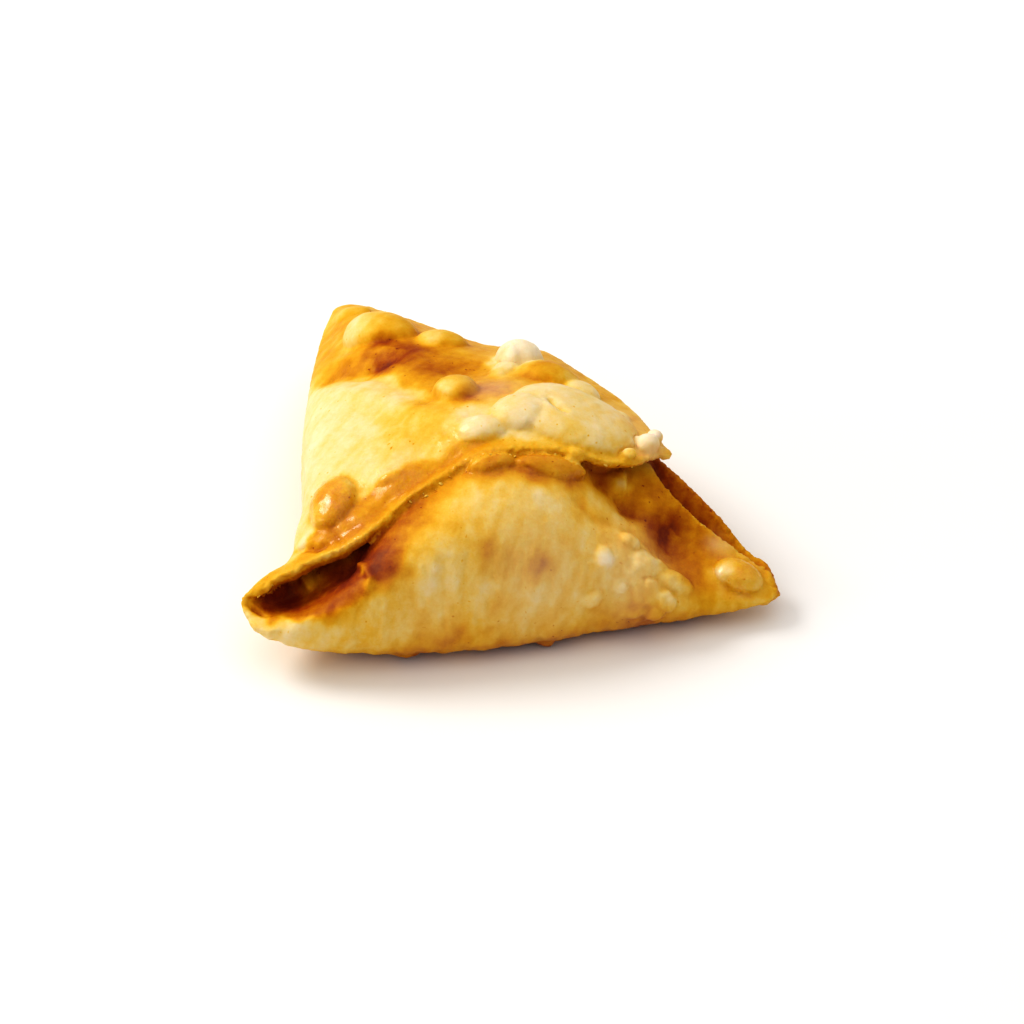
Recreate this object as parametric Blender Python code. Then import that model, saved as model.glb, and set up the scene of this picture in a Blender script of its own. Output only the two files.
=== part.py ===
"""A fried samosa: one strip of pastry wrapped round its filling into a puffed triangular parcel.

The parcel lies on its belly. Its filled mouth faces -Y, and the last flap of the strip comes over it
from the back, leaving a free lip that runs from the open beak on the left to the loose corner on the
right. At the right-hand corner the front and back layers of pastry stand a little apart.

All the pastry is one piece, so it is one solid. The shells below are lofted between guide lines,
joined, and remeshed into a single skin. Lengths in the tables are millimetres, +Z up.
"""

import bmesh
import bpy
import numpy as np
from mathutils import Vector
from mathutils.bvhtree import BVHTree

MM = 0.001

PASTRY_THICKNESS = 1.2
SLOT_DEPTH = 8.0
FLAP_ROOT_THICKNESS = 9.0
SKIN_VOXEL = 0.5
TARGET_TRIANGLES = 8200
FLAT_SPOT_DEPTH = 0.35
RIM_TUCKED_UNDER = 0.5

# The corners of the triangle: the open beak at the front left, the loose corner of the flap, and
# the pressed tip at the right.
BEAK = (-45.7, 5.7, 12.0)
LOOSE_CORNER = (27.8, 34.5, 22.5)
TIP = (45.8, 14.3, 5.0)

# Share of the way from beak to tip at which the flap's loose corner lies.
CORNER_SHARE = 0.82

# The flap's free lip, from the beak over the filling to the loose corner.
LIP = {
    0.00: BEAK,
    0.05: (-42.0, 7.0, 14.2),
    0.13: (-36.0, 7.6, 17.5),
    0.22: (-28.0, 8.8, 21.0),
    0.42: (-15.0, 17.3, 27.0),
    0.58: (-4.0, 23.4, 29.8),
    0.72: (7.0, 25.6, 28.8),
    0.90: (20.0, 27.5, 25.0),
    1.00: LOOSE_CORNER,
}

# The flap's other side: up the left fold to the far corner, then down the long side.
FLAP_RIM = {
    0.00: BEAK,
    0.05: (-41.6, 10.8, 13.2),
    0.09: (-38.2, 14.0, 12.8),
    0.12: (-37.4, 18.5, 12.4),
    0.22: (-37.4, 47.0, 13.6),
    0.32: (-36.4, 71.0, 13.8),
    0.38: (-34.4, 86.6, 13.3),
    0.405: (-33.0, 90.8, 13.4),
    0.43: (-29.2, 91.6, 13.6),
    0.46: (-24.6, 88.6, 14.4),
    0.58: (-6.0, 72.8, 18.0),
    0.70: (6.0, 67.2, 20.0),
    0.78: (12.5, 60.5, 20.0),
    0.89: (22.2, 49.8, 21.6),
    1.00: LOOSE_CORNER,
}

# How the flap swells between lip and rim: share, run and rise at the lip, run and rise at the rim.
FLAP_SWELL = (
    (0.00, 0.0, 0.0, 0.0, 0.0),
    (0.05, 1.0, 0.5, 1.0, 2.0),
    (0.09, 2.0, 1.0, 1.0, 3.5),
    (0.13, 4.0, 1.5, 1.0, 5.5),
    (0.22, 10.0, 3.0, 2.0, 10.0),
    (0.42, 24.0, 6.0, 22.0, 5.0),
    (0.58, 18.0, 4.0, 12.0, 6.0),
    (0.72, 14.0, 3.0, 9.0, 5.0),
    (0.90, 7.0, 1.0, 5.0, 2.0),
    (1.00, 0.0, 0.0, 0.0, 0.0),
)

# The front layer's free edge, from under the loose corner down to the tip.
FRONT_LAYER_EDGE = {
    0.82: (26.0, 31.5, 18.0),
    0.88: (33.0, 26.0, 13.6),
    0.93: (40.5, 22.0, 9.0),
    0.97: (44.8, 19.0, 6.8),
    1.00: TIP,
}

# The line, under the flap, where the filled front meets the flap's underside.
TUCK = {
    0.00: BEAK,
    0.05: (-41.6, 9.4, 11.2),
    0.11: (-36.4, 13.0, 11.5),
    0.18: (-27.3, 16.0, 17.0),
    0.26: (-19.5, 19.5, 22.5),
    0.34: (-12.5, 22.5, 26.0),
    0.48: (-2.0, 28.0, 28.8),
    0.59: (7.5, 31.0, 27.6),
    0.74: (20.0, 32.0, 20.5),
}

# The furthest forward line of the bulging front.
BELLY = {
    0.00: (-45.7, 5.5, 11.0),
    0.05: (-43.9, 1.0, 8.8),
    0.11: (-37.6, -1.0, 8.3),
    0.18: (-28.5, -0.8, 8.6),
    0.34: (-15.0, 1.3, 9.0),
    0.48: (-3.0, 2.9, 9.0),
    0.59: (8.0, 5.4, 8.0),
    0.74: (21.0, 8.9, 6.5),
    0.88: (36.0, 12.0, 5.0),
    1.00: (45.8, 14.1, 4.8),
}

# Where the rounded front reaches what the parcel stands on, and where the underside leaves it.
FOOT_FRONT = {
    0.00: (-45.6, 5.9, 10.8),
    0.05: (-42.4, 5.0, 5.6),
    0.11: (-36.0, 7.5, 2.0),
    0.18: (-28.0, 9.5, 0.3),
    0.34: (-15.0, 8.0, 0.0),
    0.59: (8.0, 11.0, 0.0),
    0.82: (27.0, 15.0, 0.3),
    0.93: (39.0, 16.5, 2.6),
    1.00: (45.7, 14.5, 4.7),
}
FOOT_BACK = {
    0.00: (-45.5, 6.1, 10.9),
    0.05: (-41.0, 9.0, 7.0),
    0.11: (-34.0, 18.0, 2.5),
    0.18: (-29.0, 36.0, 0.6),
    0.34: (-24.0, 62.0, 0.5),
    0.48: (-6.0, 56.0, 0.0),
    0.59: (6.0, 46.0, 0.0),
    0.74: (17.0, 33.0, 0.0),
    0.88: (32.0, 21.0, 1.3),
    1.00: (45.7, 14.7, 4.8),
}

# How the filled front bulges: share, forward run and slope at the tuck, rise above the belly.
FRONT_SWELL = (
    (0.00, 0.0, 0.00, 0.0),
    (0.05, 0.5, 0.00, 1.0),
    (0.11, 3.0, 0.00, 4.0),
    (0.18, 7.0, 0.05, 10.0),
    (0.26, 10.0, 0.05, 14.0),
    (0.34, 12.0, 0.05, 17.0),
    (0.48, 13.0, 0.02, 18.5),
    (0.59, 13.0, -0.05, 16.0),
    (0.74, 11.0, -0.25, 9.5),
    (0.81, 8.0, -0.40, 5.5),
    (0.88, 4.0, -0.50, 2.5),
    (1.00, 0.0, -0.50, 0.0),
)

# The back layer at the right-hand corner: its free edge, and its root inside the parcel.
BACK_LAYER_EDGE = {
    0.00: (16.0, 48.0, 19.0),
    0.20: (24.0, 38.0, 19.6),
    0.40: (31.2, 31.5, 17.0),
    0.60: (36.6, 27.5, 13.2),
    0.80: (41.2, 23.4, 8.4),
    0.93: (44.4, 20.4, 6.2),
    1.00: (45.8, 15.6, 4.9),
}
BACK_LAYER_ROOT = {
    0.00: (8.0, 40.0, 15.0),
    0.20: (14.0, 33.0, 13.0),
    0.40: (19.0, 27.0, 11.0),
    0.60: (25.0, 22.5, 7.0),
    0.80: (32.0, 18.5, 4.6),
    0.93: (39.0, 16.5, 4.2),
    1.00: (44.0, 15.0, 4.4),
}

# How far the filling lifts the top, under the flap: share and rise.
CROWN = ((0.0, 0.0), (0.05, 0.6), (0.11, 2.0), (0.18, 4.0), (0.34, 8.0), (0.59, 4.0), (0.82, 0.0))

# The groove inside the open mouth, just behind the lower jaw: share and depth.
MOUTH_GROOVE = ((0.0, 0.0), (0.03, 0.5), (0.07, 2.6), (0.12, 3.2), (0.17, 2.4), (0.22, 0.0))

# Swellings and dents left by folding and frying: where, reach, and height (a dent is negative).
SWELLINGS = (
    ((20.0, 25.0, 17.5), 4.5, -1.8),
    ((30.0, 21.0, 11.5), 5.0, -1.6),
    ((27.0, 19.0, 12.5), 4.0, -1.2),
    ((-36.0, 19.0, 15.0), 4.0, 0.9),
    ((19.0, 14.0, 15.0), 6.0, 1.3),
    ((25.0, 10.0, 8.5), 5.0, 1.5),
    ((-15.0, 25.0, 28.5), 4.5, -0.9),
    ((-25.0, 18.5, 24.0), 4.0, -0.9),
    ((-33.0, 61.0, 18.5), 4.0, -1.3),
    ((-24.0, 57.5, 22.5), 4.5, -1.6),
    ((-8.0, 51.0, 26.0), 6.0, -1.2),
    ((-27.0, 48.0, 24.0), 6.0, 1.0),
    ((-12.0, 35.0, 30.0), 6.0, 0.7),
)

# Blisters: where, direction of the long axis, half length, half width, height.
BLISTERS = (
    ((-24.0, 70.0, 20.5), (1.0, -0.4, 0.3), 7.2, 5.6, 2.4),
    ((-28.5, 85.0, 16.0), (1.0, 0.3, 0.0), 4.0, 3.0, 0.9),
    ((-12.8, 65.5, 22.0), (1.0, 0.3, -0.2), 5.0, 4.0, 1.8),
    ((-10.0, 42.5, 29.5), (1.0, -0.1, 0.0), 4.3, 4.3, 2.2),
    ((1.5, 61.0, 23.0), (1.0, 0.1, 0.0), 4.6, 4.6, 3.8),
    ((7.5, 52.0, 25.0), (1.0, -0.2, 0.0), 5.2, 4.6, 1.6),
    ((10.5, 37.0, 29.0), (1.0, -0.2, 0.0), 12.2, 9.8, 2.2),
    ((-30.5, 18.5, 22.0), (0.3, 0.7, 0.4), 5.4, 4.2, 1.7),
    ((24.0, 35.0, 23.0), (1.0, 0.0, 0.0), 2.4, 2.2, 1.6),
    ((26.8, 35.5, 22.5), (1.0, 0.0, 0.0), 1.9, 1.8, 1.3),
    ((20.0, 29.3, 24.5), (1.0, 0.0, 0.0), 1.5, 1.4, 1.0),
    ((-6.0, 28.5, 30.0), (1.0, 0.3, 0.0), 3.0, 2.4, 1.2),
    ((28.2, 13.5, 9.0), (0.6, -0.5, 0.0), 3.2, 2.8, 1.0),
    ((39.6, 17.6, 8.2), (1.0, -0.2, -0.2), 4.6, 3.6, 1.9),
)


def smooth_guide(stations, shares):
    """Points at the given shares of the smooth line through a table's stations."""
    at = np.array(list(stations))
    points = np.array([stations[key] for key in stations], float)
    slopes = np.gradient(points, at, axis=0)
    k = np.clip(np.searchsorted(at, shares, side="right") - 1, 0, len(at) - 2)
    span = (at[k + 1] - at[k])[:, None]
    t = (shares - at[k])[:, None] / span
    return (
        (2 * t**3 - 3 * t**2 + 1) * points[k]
        + (t**3 - 2 * t**2 + t) * span * slopes[k]
        + (3 * t**2 - 2 * t**3) * points[k + 1]
        + (t**3 - t**2) * span * slopes[k + 1]
    )


def smooth_values(rows, shares):
    """The columns of a swell table, read smoothly at the given shares."""
    stations = {row[0]: row[1:] for row in rows}
    return smooth_guide(stations, shares).T


def sections(start, start_handle, end_handle, end, count):
    """One Bezier arc for each share, as a grid of points: shares by count."""
    t = np.linspace(0, 1, count)[None, :, None]
    p0, p1, p2, p3 = (p[:, None, :] for p in (start, start_handle, end_handle, end))
    return (1 - t) ** 3 * p0 + 3 * (1 - t) ** 2 * t * p1 + 3 * (1 - t) * t**2 * p2 + t**3 * p3


def up(amount):
    """Upward vectors of these lengths."""
    return np.outer(amount, (0.0, 0.0, 1.0))


def smooth_step(x):
    x = np.clip(x, 0, 1)
    return x * x * (3 - 2 * x)


def tube(grid):
    """A closed shell from a grid whose rows are closed sections, with both ends capped."""
    rows, columns, _ = grid.shape
    points = [tuple(p) for p in grid.reshape(-1, 3)]
    faces = []
    for first in range(0, (rows - 1) * columns, columns):
        for j in range(columns):
            near = first + j
            far = first + (j + 1) % columns
            faces.append((near, far, far + columns, near + columns))
    for first in (0, (rows - 1) * columns):
        hub = len(points)
        points.append(tuple(grid[first // columns].mean(0)))
        for j in range(columns):
            faces.append((first + j, first + (j + 1) % columns, hub))
    return points, faces


def grid_normals(grid):
    """Upward unit normals of an open grid."""
    across, along = np.gradient(grid, axis=0), np.gradient(grid, axis=1)
    normals = np.cross(across, along)
    normals /= np.maximum(np.linalg.norm(normals, axis=2, keepdims=True), 1e-9)
    if normals[:, :, 2].mean() < 0:
        normals = -normals
    normals[0], normals[-1] = normals[1], normals[-2]
    return normals


def flap_shell():
    """The last flap of pastry: thin and free along its lip, thick where it is one with the parcel."""
    shares = np.linspace(0, 1, 110)
    lip = smooth_guide(LIP, shares)
    rim = smooth_guide(FLAP_RIM, shares)
    inward = (rim - lip) * (1, 1, 0)
    inward /= np.linalg.norm(inward, axis=1, keepdims=True) + 1e-9
    lip_run, lip_rise, rim_run, rim_rise = smooth_values(FLAP_SWELL, shares)
    top = sections(
        lip,
        lip + inward * lip_run[:, None] + up(lip_rise),
        rim - inward * rim_run[:, None] + up(rim_rise),
        rim,
        54,
    )
    steps = np.linalg.norm(np.diff(top, axis=1), axis=2)
    from_lip = np.concatenate([np.zeros((len(shares), 1)), np.cumsum(steps, axis=1)], axis=1)
    width = from_lip[:, -1:]
    slot = np.minimum(SLOT_DEPTH, 0.6 * width)
    rooted = smooth_step((from_lip - slot) / 3.0)
    thickness = PASTRY_THICKNESS + (FLAP_ROOT_THICKNESS - PASTRY_THICKNESS) * rooted
    thickness = np.minimum(thickness, 0.6 + 0.6 * (width - from_lip))
    bottom = top - grid_normals(top) * thickness[:, :, None]
    return tube(np.concatenate([top, bottom[:, ::-1]], axis=1))


def parcel_shell():
    """The filled parcel under the flap: back rim, tuck, bulging front, foot and underside."""
    shares = np.linspace(0, 1, 120)
    rim_stations = {share * CORNER_SHARE: point for share, point in FLAP_RIM.items() if share < 1}
    rim = smooth_guide({**rim_stations, **FRONT_LAYER_EDGE}, shares)
    rim -= up(np.where(shares < CORNER_SHARE, RIM_TUCKED_UNDER, 0.0) * np.sin(np.pi * shares))
    tuck = smooth_guide({**TUCK, **FRONT_LAYER_EDGE}, shares)
    belly = smooth_guide(BELLY, shares)
    foot_front = smooth_guide(FOOT_FRONT, shares)
    foot_back = smooth_guide(FOOT_BACK, shares)

    crown = np.interp(shares, *np.array(CROWN).T)
    top = sections(
        rim,
        rim + (tuck - rim) * 0.3 + up(crown),
        tuck + (rim - tuck) * 0.35 + up(crown),
        tuck,
        14,
    )
    run, slope, rise = smooth_values(FRONT_SWELL, shares)
    forward = np.tile((0.0, -1.0, 0.0), (len(shares), 1))
    front = sections(tuck, tuck + forward * run[:, None] + up(run * slope), belly + up(rise), belly, 40)
    groove = np.interp(shares, *np.array(MOUTH_GROOVE).T)
    across = np.linspace(0, 1, 40)
    hollow = smooth_step(across / 0.12) * smooth_step((0.68 - across) / 0.2)
    front[:, :, 2] -= groove[:, None] * hollow[None, :]
    drop = 0.6 * (belly[:, 2] - foot_front[:, 2])
    tread = 0.6 * (foot_front[:, 1] - belly[:, 1])
    hem = sections(belly, belly - up(drop), foot_front + forward * tread[:, None], foot_front, 9)
    base = sections(
        foot_front,
        foot_front + (foot_back - foot_front) / 3,
        foot_front + (foot_back - foot_front) * 2 / 3,
        foot_back,
        8,
    )
    spread = rim - foot_back
    under = sections(foot_back, foot_back + spread * (0.6, 0.6, 0.0), rim - up(0.35 * spread[:, 2]), rim, 12)
    around = [side[:, :-1] for side in (top, front, hem, base, under)]
    return tube(np.concatenate(around, axis=1))


def back_layer_shell():
    """The back layer of pastry, which stands free of the front layer at the right-hand corner."""
    shares = np.linspace(0, 1, 48)
    edge = smooth_guide(BACK_LAYER_EDGE, shares)
    root = smooth_guide(BACK_LAYER_ROOT, shares)
    sag = up(np.full(len(shares), -0.8))
    top = sections(edge, edge + (root - edge) / 3 + sag, root + (edge - root) / 3 + sag, root, 20)
    bottom = top - grid_normals(top) * PASTRY_THICKNESS
    return tube(np.concatenate([top, bottom[:, ::-1]], axis=1))


def add_mesh_object(name, shells):
    """One mesh object from several shells of (points, faces)."""
    mesh = bpy.data.meshes.new(name)
    build = bmesh.new()
    for points, faces in shells:
        verts = [build.verts.new(p) for p in points]
        for face in faces:
            build.faces.new([verts[i] for i in face])
    bmesh.ops.remove_doubles(build, verts=build.verts, dist=1e-3)
    bmesh.ops.recalc_face_normals(build, faces=build.faces)
    build.to_mesh(mesh)
    build.free()
    obj = bpy.data.objects.new(name, mesh)
    bpy.context.collection.objects.link(obj)
    return obj


def evaluated_mesh(obj):
    """A new mesh holding the object as its modifiers leave it."""
    graph = bpy.context.evaluated_depsgraph_get()
    return bpy.data.meshes.new_from_object(obj.evaluated_get(graph))


def apply_modifiers(obj):
    obj.data = evaluated_mesh(obj)
    obj.modifiers.clear()


def remesh(obj, voxel):
    """Joins overlapping shells into one skin."""
    modifier = obj.modifiers.new("One skin", "REMESH")
    modifier.mode = "VOXEL"
    modifier.voxel_size = voxel
    apply_modifiers(obj)


def vertex_arrays(mesh):
    """Every vertex's place and normal."""
    places = np.empty(len(mesh.vertices) * 3)
    mesh.vertices.foreach_get("co", places)
    normals = np.empty(len(mesh.vertices) * 3)
    mesh.vertices.foreach_get("normal", normals)
    return places.reshape(-1, 3), normals.reshape(-1, 3)


def move_skin(obj, moves):
    places, _ = vertex_arrays(obj.data)
    obj.data.vertices.foreach_set("co", (places + moves).ravel())
    obj.data.update()


def swell(obj):
    """Moves the skin out or in at each swelling, fading smoothly with distance."""
    tree = BVHTree.FromObject(obj, bpy.context.evaluated_depsgraph_get())
    places, _ = vertex_arrays(obj.data)
    moves = np.zeros_like(places)
    for centre, reach, height in SWELLINGS:
        seat, out, _, _ = tree.find_nearest(Vector(centre))
        distance = np.linalg.norm(places - np.array(seat), axis=1)
        moves += np.outer(height * np.exp(-((distance / reach) ** 2)), out)
    move_skin(obj, moves)


def blister(obj):
    """Raises each blister as an oval dome with a definite edge."""
    tree = BVHTree.FromObject(obj, bpy.context.evaluated_depsgraph_get())
    places, normals = vertex_arrays(obj.data)
    heights = np.zeros(len(places))
    for centre, heading, half_length, half_width, height in BLISTERS:
        seat, out, _, _ = tree.find_nearest(Vector(centre))
        along = Vector(heading)
        along = (along - out * along.dot(out)).normalized()
        across = out.cross(along)
        offset = places - np.array(seat)
        oval = (offset @ np.array(along) / half_length) ** 2
        oval += (offset @ np.array(across) / half_width) ** 2
        oval += (offset @ np.array(out) / (half_width + height)) ** 2 * 0.5
        facing = normals @ np.array(out) > 0.2
        heights = np.maximum(heights, height * np.clip(1 - oval, 0, 1) ** 0.6 * facing)
    move_skin(obj, normals * heights[:, None])


def drop_crumbs(obj):
    """Keeps only the largest connected body: the join can leave loose specks inside the slot."""
    build = bmesh.new()
    build.from_mesh(obj.data)
    unseen = set(build.verts)
    bodies = []
    while unseen:
        body = {unseen.pop()}
        edge = set(body)
        while edge:
            edge = {e.other_vert(v) for v in edge for e in v.link_edges} & unseen
            unseen -= edge
            body |= edge
        bodies.append(body)
    bodies.sort(key=len)
    bmesh.ops.delete(build, geom=[v for body in bodies[:-1] for v in body], context="VERTS")
    build.to_mesh(obj.data)
    build.free()


def thin_out(obj, triangles):
    """Fewer, larger triangles, with the shape kept."""
    count = sum(len(face.vertices) - 2 for face in obj.data.polygons)
    modifier = obj.modifiers.new("Fewer triangles", "DECIMATE")
    modifier.ratio = triangles / count
    modifier.use_collapse_triangulate = True
    apply_modifiers(obj)


def flatten_foot(obj):
    """Cuts the belly off at a true plane, so that the parcel has a flat spot to rest on."""
    build = bmesh.new()
    build.from_mesh(obj.data)
    lowest = min(v.co.z for v in build.verts)
    plane = Vector((0, 0, lowest + FLAT_SPOT_DEPTH))
    everything = list(build.verts) + list(build.edges) + list(build.faces)
    cut = bmesh.ops.bisect_plane(
        build,
        geom=everything,
        dist=1e-4,
        plane_co=plane,
        plane_no=(0, 0, -1),
        clear_outer=True,
    )
    rim_edges = [e for e in cut["geom_cut"] if isinstance(e, bmesh.types.BMEdge)]
    bmesh.ops.contextual_create(build, geom=rim_edges)
    bmesh.ops.triangulate(build, faces=[f for f in build.faces if len(f.verts) > 3])
    build.to_mesh(obj.data)
    build.free()


def centre_on_foot(obj):
    """Millimetres to metres, with the origin at the bottom centre of the whole samosa's box."""
    places, _ = vertex_arrays(obj.data)
    low, high = places.min(0), places.max(0)
    origin = ((low[0] + high[0]) / 2, (low[1] + high[1]) / 2, low[2])
    obj.data.vertices.foreach_set("co", ((places - origin) * MM).ravel())
    obj.data.update()


def fried_pastry():
    material = bpy.data.materials.new("fried_pastry")
    material.use_nodes = True
    shader = material.node_tree.nodes["Principled BSDF"]
    shader.inputs["Base Color"].default_value = (0.72, 0.42, 0.12, 1.0)
    shader.inputs["Roughness"].default_value = 0.42
    shader.inputs["Metallic"].default_value = 0.0
    return material


def clear_scene():
    for obj in list(bpy.data.objects):
        bpy.data.objects.remove(obj)


def build_samosa():
    samosa = add_mesh_object("samosa", [parcel_shell(), flap_shell(), back_layer_shell()])
    remesh(samosa, SKIN_VOXEL)
    swell(samosa)
    blister(samosa)
    remesh(samosa, SKIN_VOXEL)
    drop_crumbs(samosa)
    thin_out(samosa, TARGET_TRIANGLES)
    flatten_foot(samosa)
    centre_on_foot(samosa)
    samosa.data.shade_smooth()
    samosa.data.materials.clear()
    samosa.data.materials.append(fried_pastry())


clear_scene()
build_samosa()
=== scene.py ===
"""A fried samosa on a white table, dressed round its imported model.

Its shape is worked in millimetres on a bench of its own, +X to the right, +Y away from the filled
front, +Z up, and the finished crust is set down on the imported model's foot.
"""

import math

import bmesh
import bpy
import numpy as np
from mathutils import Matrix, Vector, noise
from mathutils.bvhtree import BVHTree
from mathutils.kdtree import KDTree


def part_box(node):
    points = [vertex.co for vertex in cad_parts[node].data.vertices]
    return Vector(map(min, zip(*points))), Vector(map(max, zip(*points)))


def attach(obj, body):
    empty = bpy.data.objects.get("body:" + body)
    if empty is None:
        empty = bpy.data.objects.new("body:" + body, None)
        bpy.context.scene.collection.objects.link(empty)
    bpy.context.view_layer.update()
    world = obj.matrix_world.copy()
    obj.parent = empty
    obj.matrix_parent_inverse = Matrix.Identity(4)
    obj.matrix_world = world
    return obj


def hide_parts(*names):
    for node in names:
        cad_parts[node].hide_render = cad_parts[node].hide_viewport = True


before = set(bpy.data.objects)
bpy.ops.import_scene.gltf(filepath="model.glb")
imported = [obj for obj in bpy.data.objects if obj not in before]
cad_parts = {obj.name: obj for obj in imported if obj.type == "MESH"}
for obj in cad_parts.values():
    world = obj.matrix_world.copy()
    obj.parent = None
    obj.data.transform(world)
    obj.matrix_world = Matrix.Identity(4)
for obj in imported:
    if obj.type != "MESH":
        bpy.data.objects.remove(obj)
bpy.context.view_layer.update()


# --- The filled parcel ---------------------------------------------------------------------------
# A strip of wheat pastry is wrapped over and over round its filling into a triangle. Its front
# bulges, its left end stays open like a beak, and its right end is pressed flat.
# Each table gives points by their share of the way from the beak to the tip.

BEAK = (-46.2, 5.8, 12.4)
LOOSE_CORNER = (27.8, 34.0, 22.1)
TIP = (45.4, 14.3, 5.0)
CORNER_SHARE = 0.82

RIM = {
    0.00: BEAK,
    0.05: (-41.6, 10.8, 13.2),
    0.09: (-37.6, 14.2, 12.8),
    0.12: (-36.6, 18.8, 12.4),
    0.22: (-37.4, 47.0, 13.6),
    0.32: (-36.4, 71.0, 13.8),
    0.38: (-34.4, 86.6, 13.3),
    0.405: (-33.0, 90.8, 13.4),
    0.43: (-29.2, 91.6, 13.6),
    0.46: (-24.6, 88.6, 14.4),
    0.58: (-6.0, 72.8, 18.0),
    0.70: (6.0, 67.2, 20.0),
    0.78: (12.5, 60.5, 20.0),
    0.89: (20.9, 48.6, 21.2),
    1.00: LOOSE_CORNER,
}
FRONT_LAYER_EDGE = {
    0.82: (26.0, 31.5, 18.0),
    0.88: (33.0, 26.0, 13.6),
    0.93: (40.5, 22.0, 9.0),
    0.97: (44.8, 19.0, 6.8),
    1.00: TIP,
}
TUCK = {
    0.00: BEAK,
    0.05: (-41.8, 7.8, 10.8),
    0.11: (-36.4, 10.6, 10.8),
    0.18: (-27.3, 12.6, 16.8),
    0.26: (-19.5, 18.0, 23.4),
    0.34: (-12.5, 22.5, 26.5),
    0.48: (-2.0, 28.0, 28.8),
    0.59: (7.5, 31.0, 27.6),
    0.74: (20.0, 32.0, 20.5),
}
BELLY = {
    0.00: (-46.2, 5.6, 11.4),
    0.05: (-43.9, 1.2, 9.8),
    0.11: (-37.6, -0.8, 9.5),
    0.18: (-28.5, -0.8, 9.2),
    0.34: (-15.0, 1.0, 7.0),
    0.48: (-3.0, 2.5, 6.8),
    0.59: (8.0, 5.0, 6.2),
    0.74: (21.0, 8.9, 6.5),
    0.88: (36.0, 12.0, 5.0),
    1.00: (45.8, 14.1, 4.8),
}
FOOT_FRONT = {
    0.00: (-46.1, 6.0, 11.2),
    0.05: (-42.4, 5.2, 6.9),
    0.11: (-36.0, 7.0, 3.9),
    0.18: (-28.0, 8.6, 1.5),
    0.34: (-15.0, 11.0, 0.0),
    0.59: (8.0, 14.5, 0.0),
    0.82: (27.0, 17.5, 0.3),
    0.93: (39.0, 16.5, 2.6),
    1.00: (45.7, 14.5, 4.7),
}
FOOT_BACK = {
    0.00: (-46.0, 6.2, 11.3),
    0.05: (-41.0, 9.2, 8.0),
    0.11: (-34.0, 18.0, 3.4),
    0.18: (-29.0, 36.0, 0.6),
    0.34: (-24.0, 62.0, 0.5),
    0.48: (-6.0, 56.0, 0.0),
    0.59: (6.0, 46.0, 0.0),
    0.74: (17.0, 33.0, 0.0),
    0.88: (32.0, 21.0, 1.3),
    1.00: (45.7, 14.7, 4.8),
}
# Share, then the front's forward run and slope at the tuck, and its rise above the belly.
FRONT_SWELL = (
    (0.00, 0.0, 0.00, 0.0),
    (0.05, 0.5, 0.00, 0.7),
    (0.11, 3.0, 0.00, 3.2),
    (0.18, 7.0, 0.05, 9.2),
    (0.26, 10.0, 0.05, 14.0),
    (0.34, 12.0, 0.05, 19.0),
    (0.48, 13.0, 0.02, 20.5),
    (0.59, 13.0, -0.05, 17.8),
    (0.74, 11.0, -0.25, 9.5),
    (0.81, 8.0, -0.40, 5.5),
    (0.88, 4.0, -0.50, 2.5),
    (1.00, 0.0, -0.50, 0.0),
)
# Share, then how far the filling lifts the top under the flap.
CROWN = ((0.0, 0.0), (0.05, 0.6), (0.11, 2.0), (0.18, 4.0), (0.34, 8.0), (0.59, 4.0), (0.82, 0.0))
# Share, then the depth of the groove behind the lower jaw of the beak.
MOUTH_GROOVE = ((0.0, 0.0), (0.03, 0.0), (0.07, 0.9), (0.12, 1.4), (0.17, 0.8), (0.22, 0.0))
RIM_TUCKED_UNDER = 0.5


def smooth_guide(stations, shares):
    """Points at the given shares of the smooth line through a table's stations."""
    at = np.array(list(stations))
    points = np.array([stations[key] for key in stations], float)
    slopes = np.gradient(points, at, axis=0)
    k = np.clip(np.searchsorted(at, shares, side="right") - 1, 0, len(at) - 2)
    span = (at[k + 1] - at[k])[:, None]
    t = (shares - at[k])[:, None] / span
    return (
        (2 * t**3 - 3 * t**2 + 1) * points[k]
        + (t**3 - 2 * t**2 + t) * span * slopes[k]
        + (3 * t**2 - 2 * t**3) * points[k + 1]
        + (t**3 - t**2) * span * slopes[k + 1]
    )


def smooth_values(rows, shares):
    """The columns of a swell table, read smoothly at the given shares."""
    return smooth_guide({row[0]: row[1:] for row in rows}, shares).T


def sections(start, start_handle, end_handle, end, count):
    """One Bezier arc for each share, as a grid of points: shares by count."""
    t = np.linspace(0, 1, count)[None, :, None]
    p0, p1, p2, p3 = (p[:, None, :] for p in (start, start_handle, end_handle, end))
    return (1 - t) ** 3 * p0 + 3 * (1 - t) ** 2 * t * p1 + 3 * (1 - t) * t**2 * p2 + t**3 * p3


def up(amount):
    """Upward vectors of these lengths."""
    return np.outer(amount, (0.0, 0.0, 1.0))


def smooth_step(x):
    x = np.clip(x, 0, 1)
    return x * x * (3 - 2 * x)


def tube(grid):
    """A closed shell from a grid whose rows are closed sections, with both ends capped."""
    rows, columns, _ = grid.shape
    points = [tuple(p) for p in grid.reshape(-1, 3)]
    faces = []
    for first in range(0, (rows - 1) * columns, columns):
        for j in range(columns):
            near = first + j
            far = first + (j + 1) % columns
            faces.append((near, far, far + columns, near + columns))
    for first in (0, (rows - 1) * columns):
        hub = len(points)
        points.append(tuple(grid[first // columns].mean(0)))
        for j in range(columns):
            faces.append((first + j, first + (j + 1) % columns, hub))
    return points, faces


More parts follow.
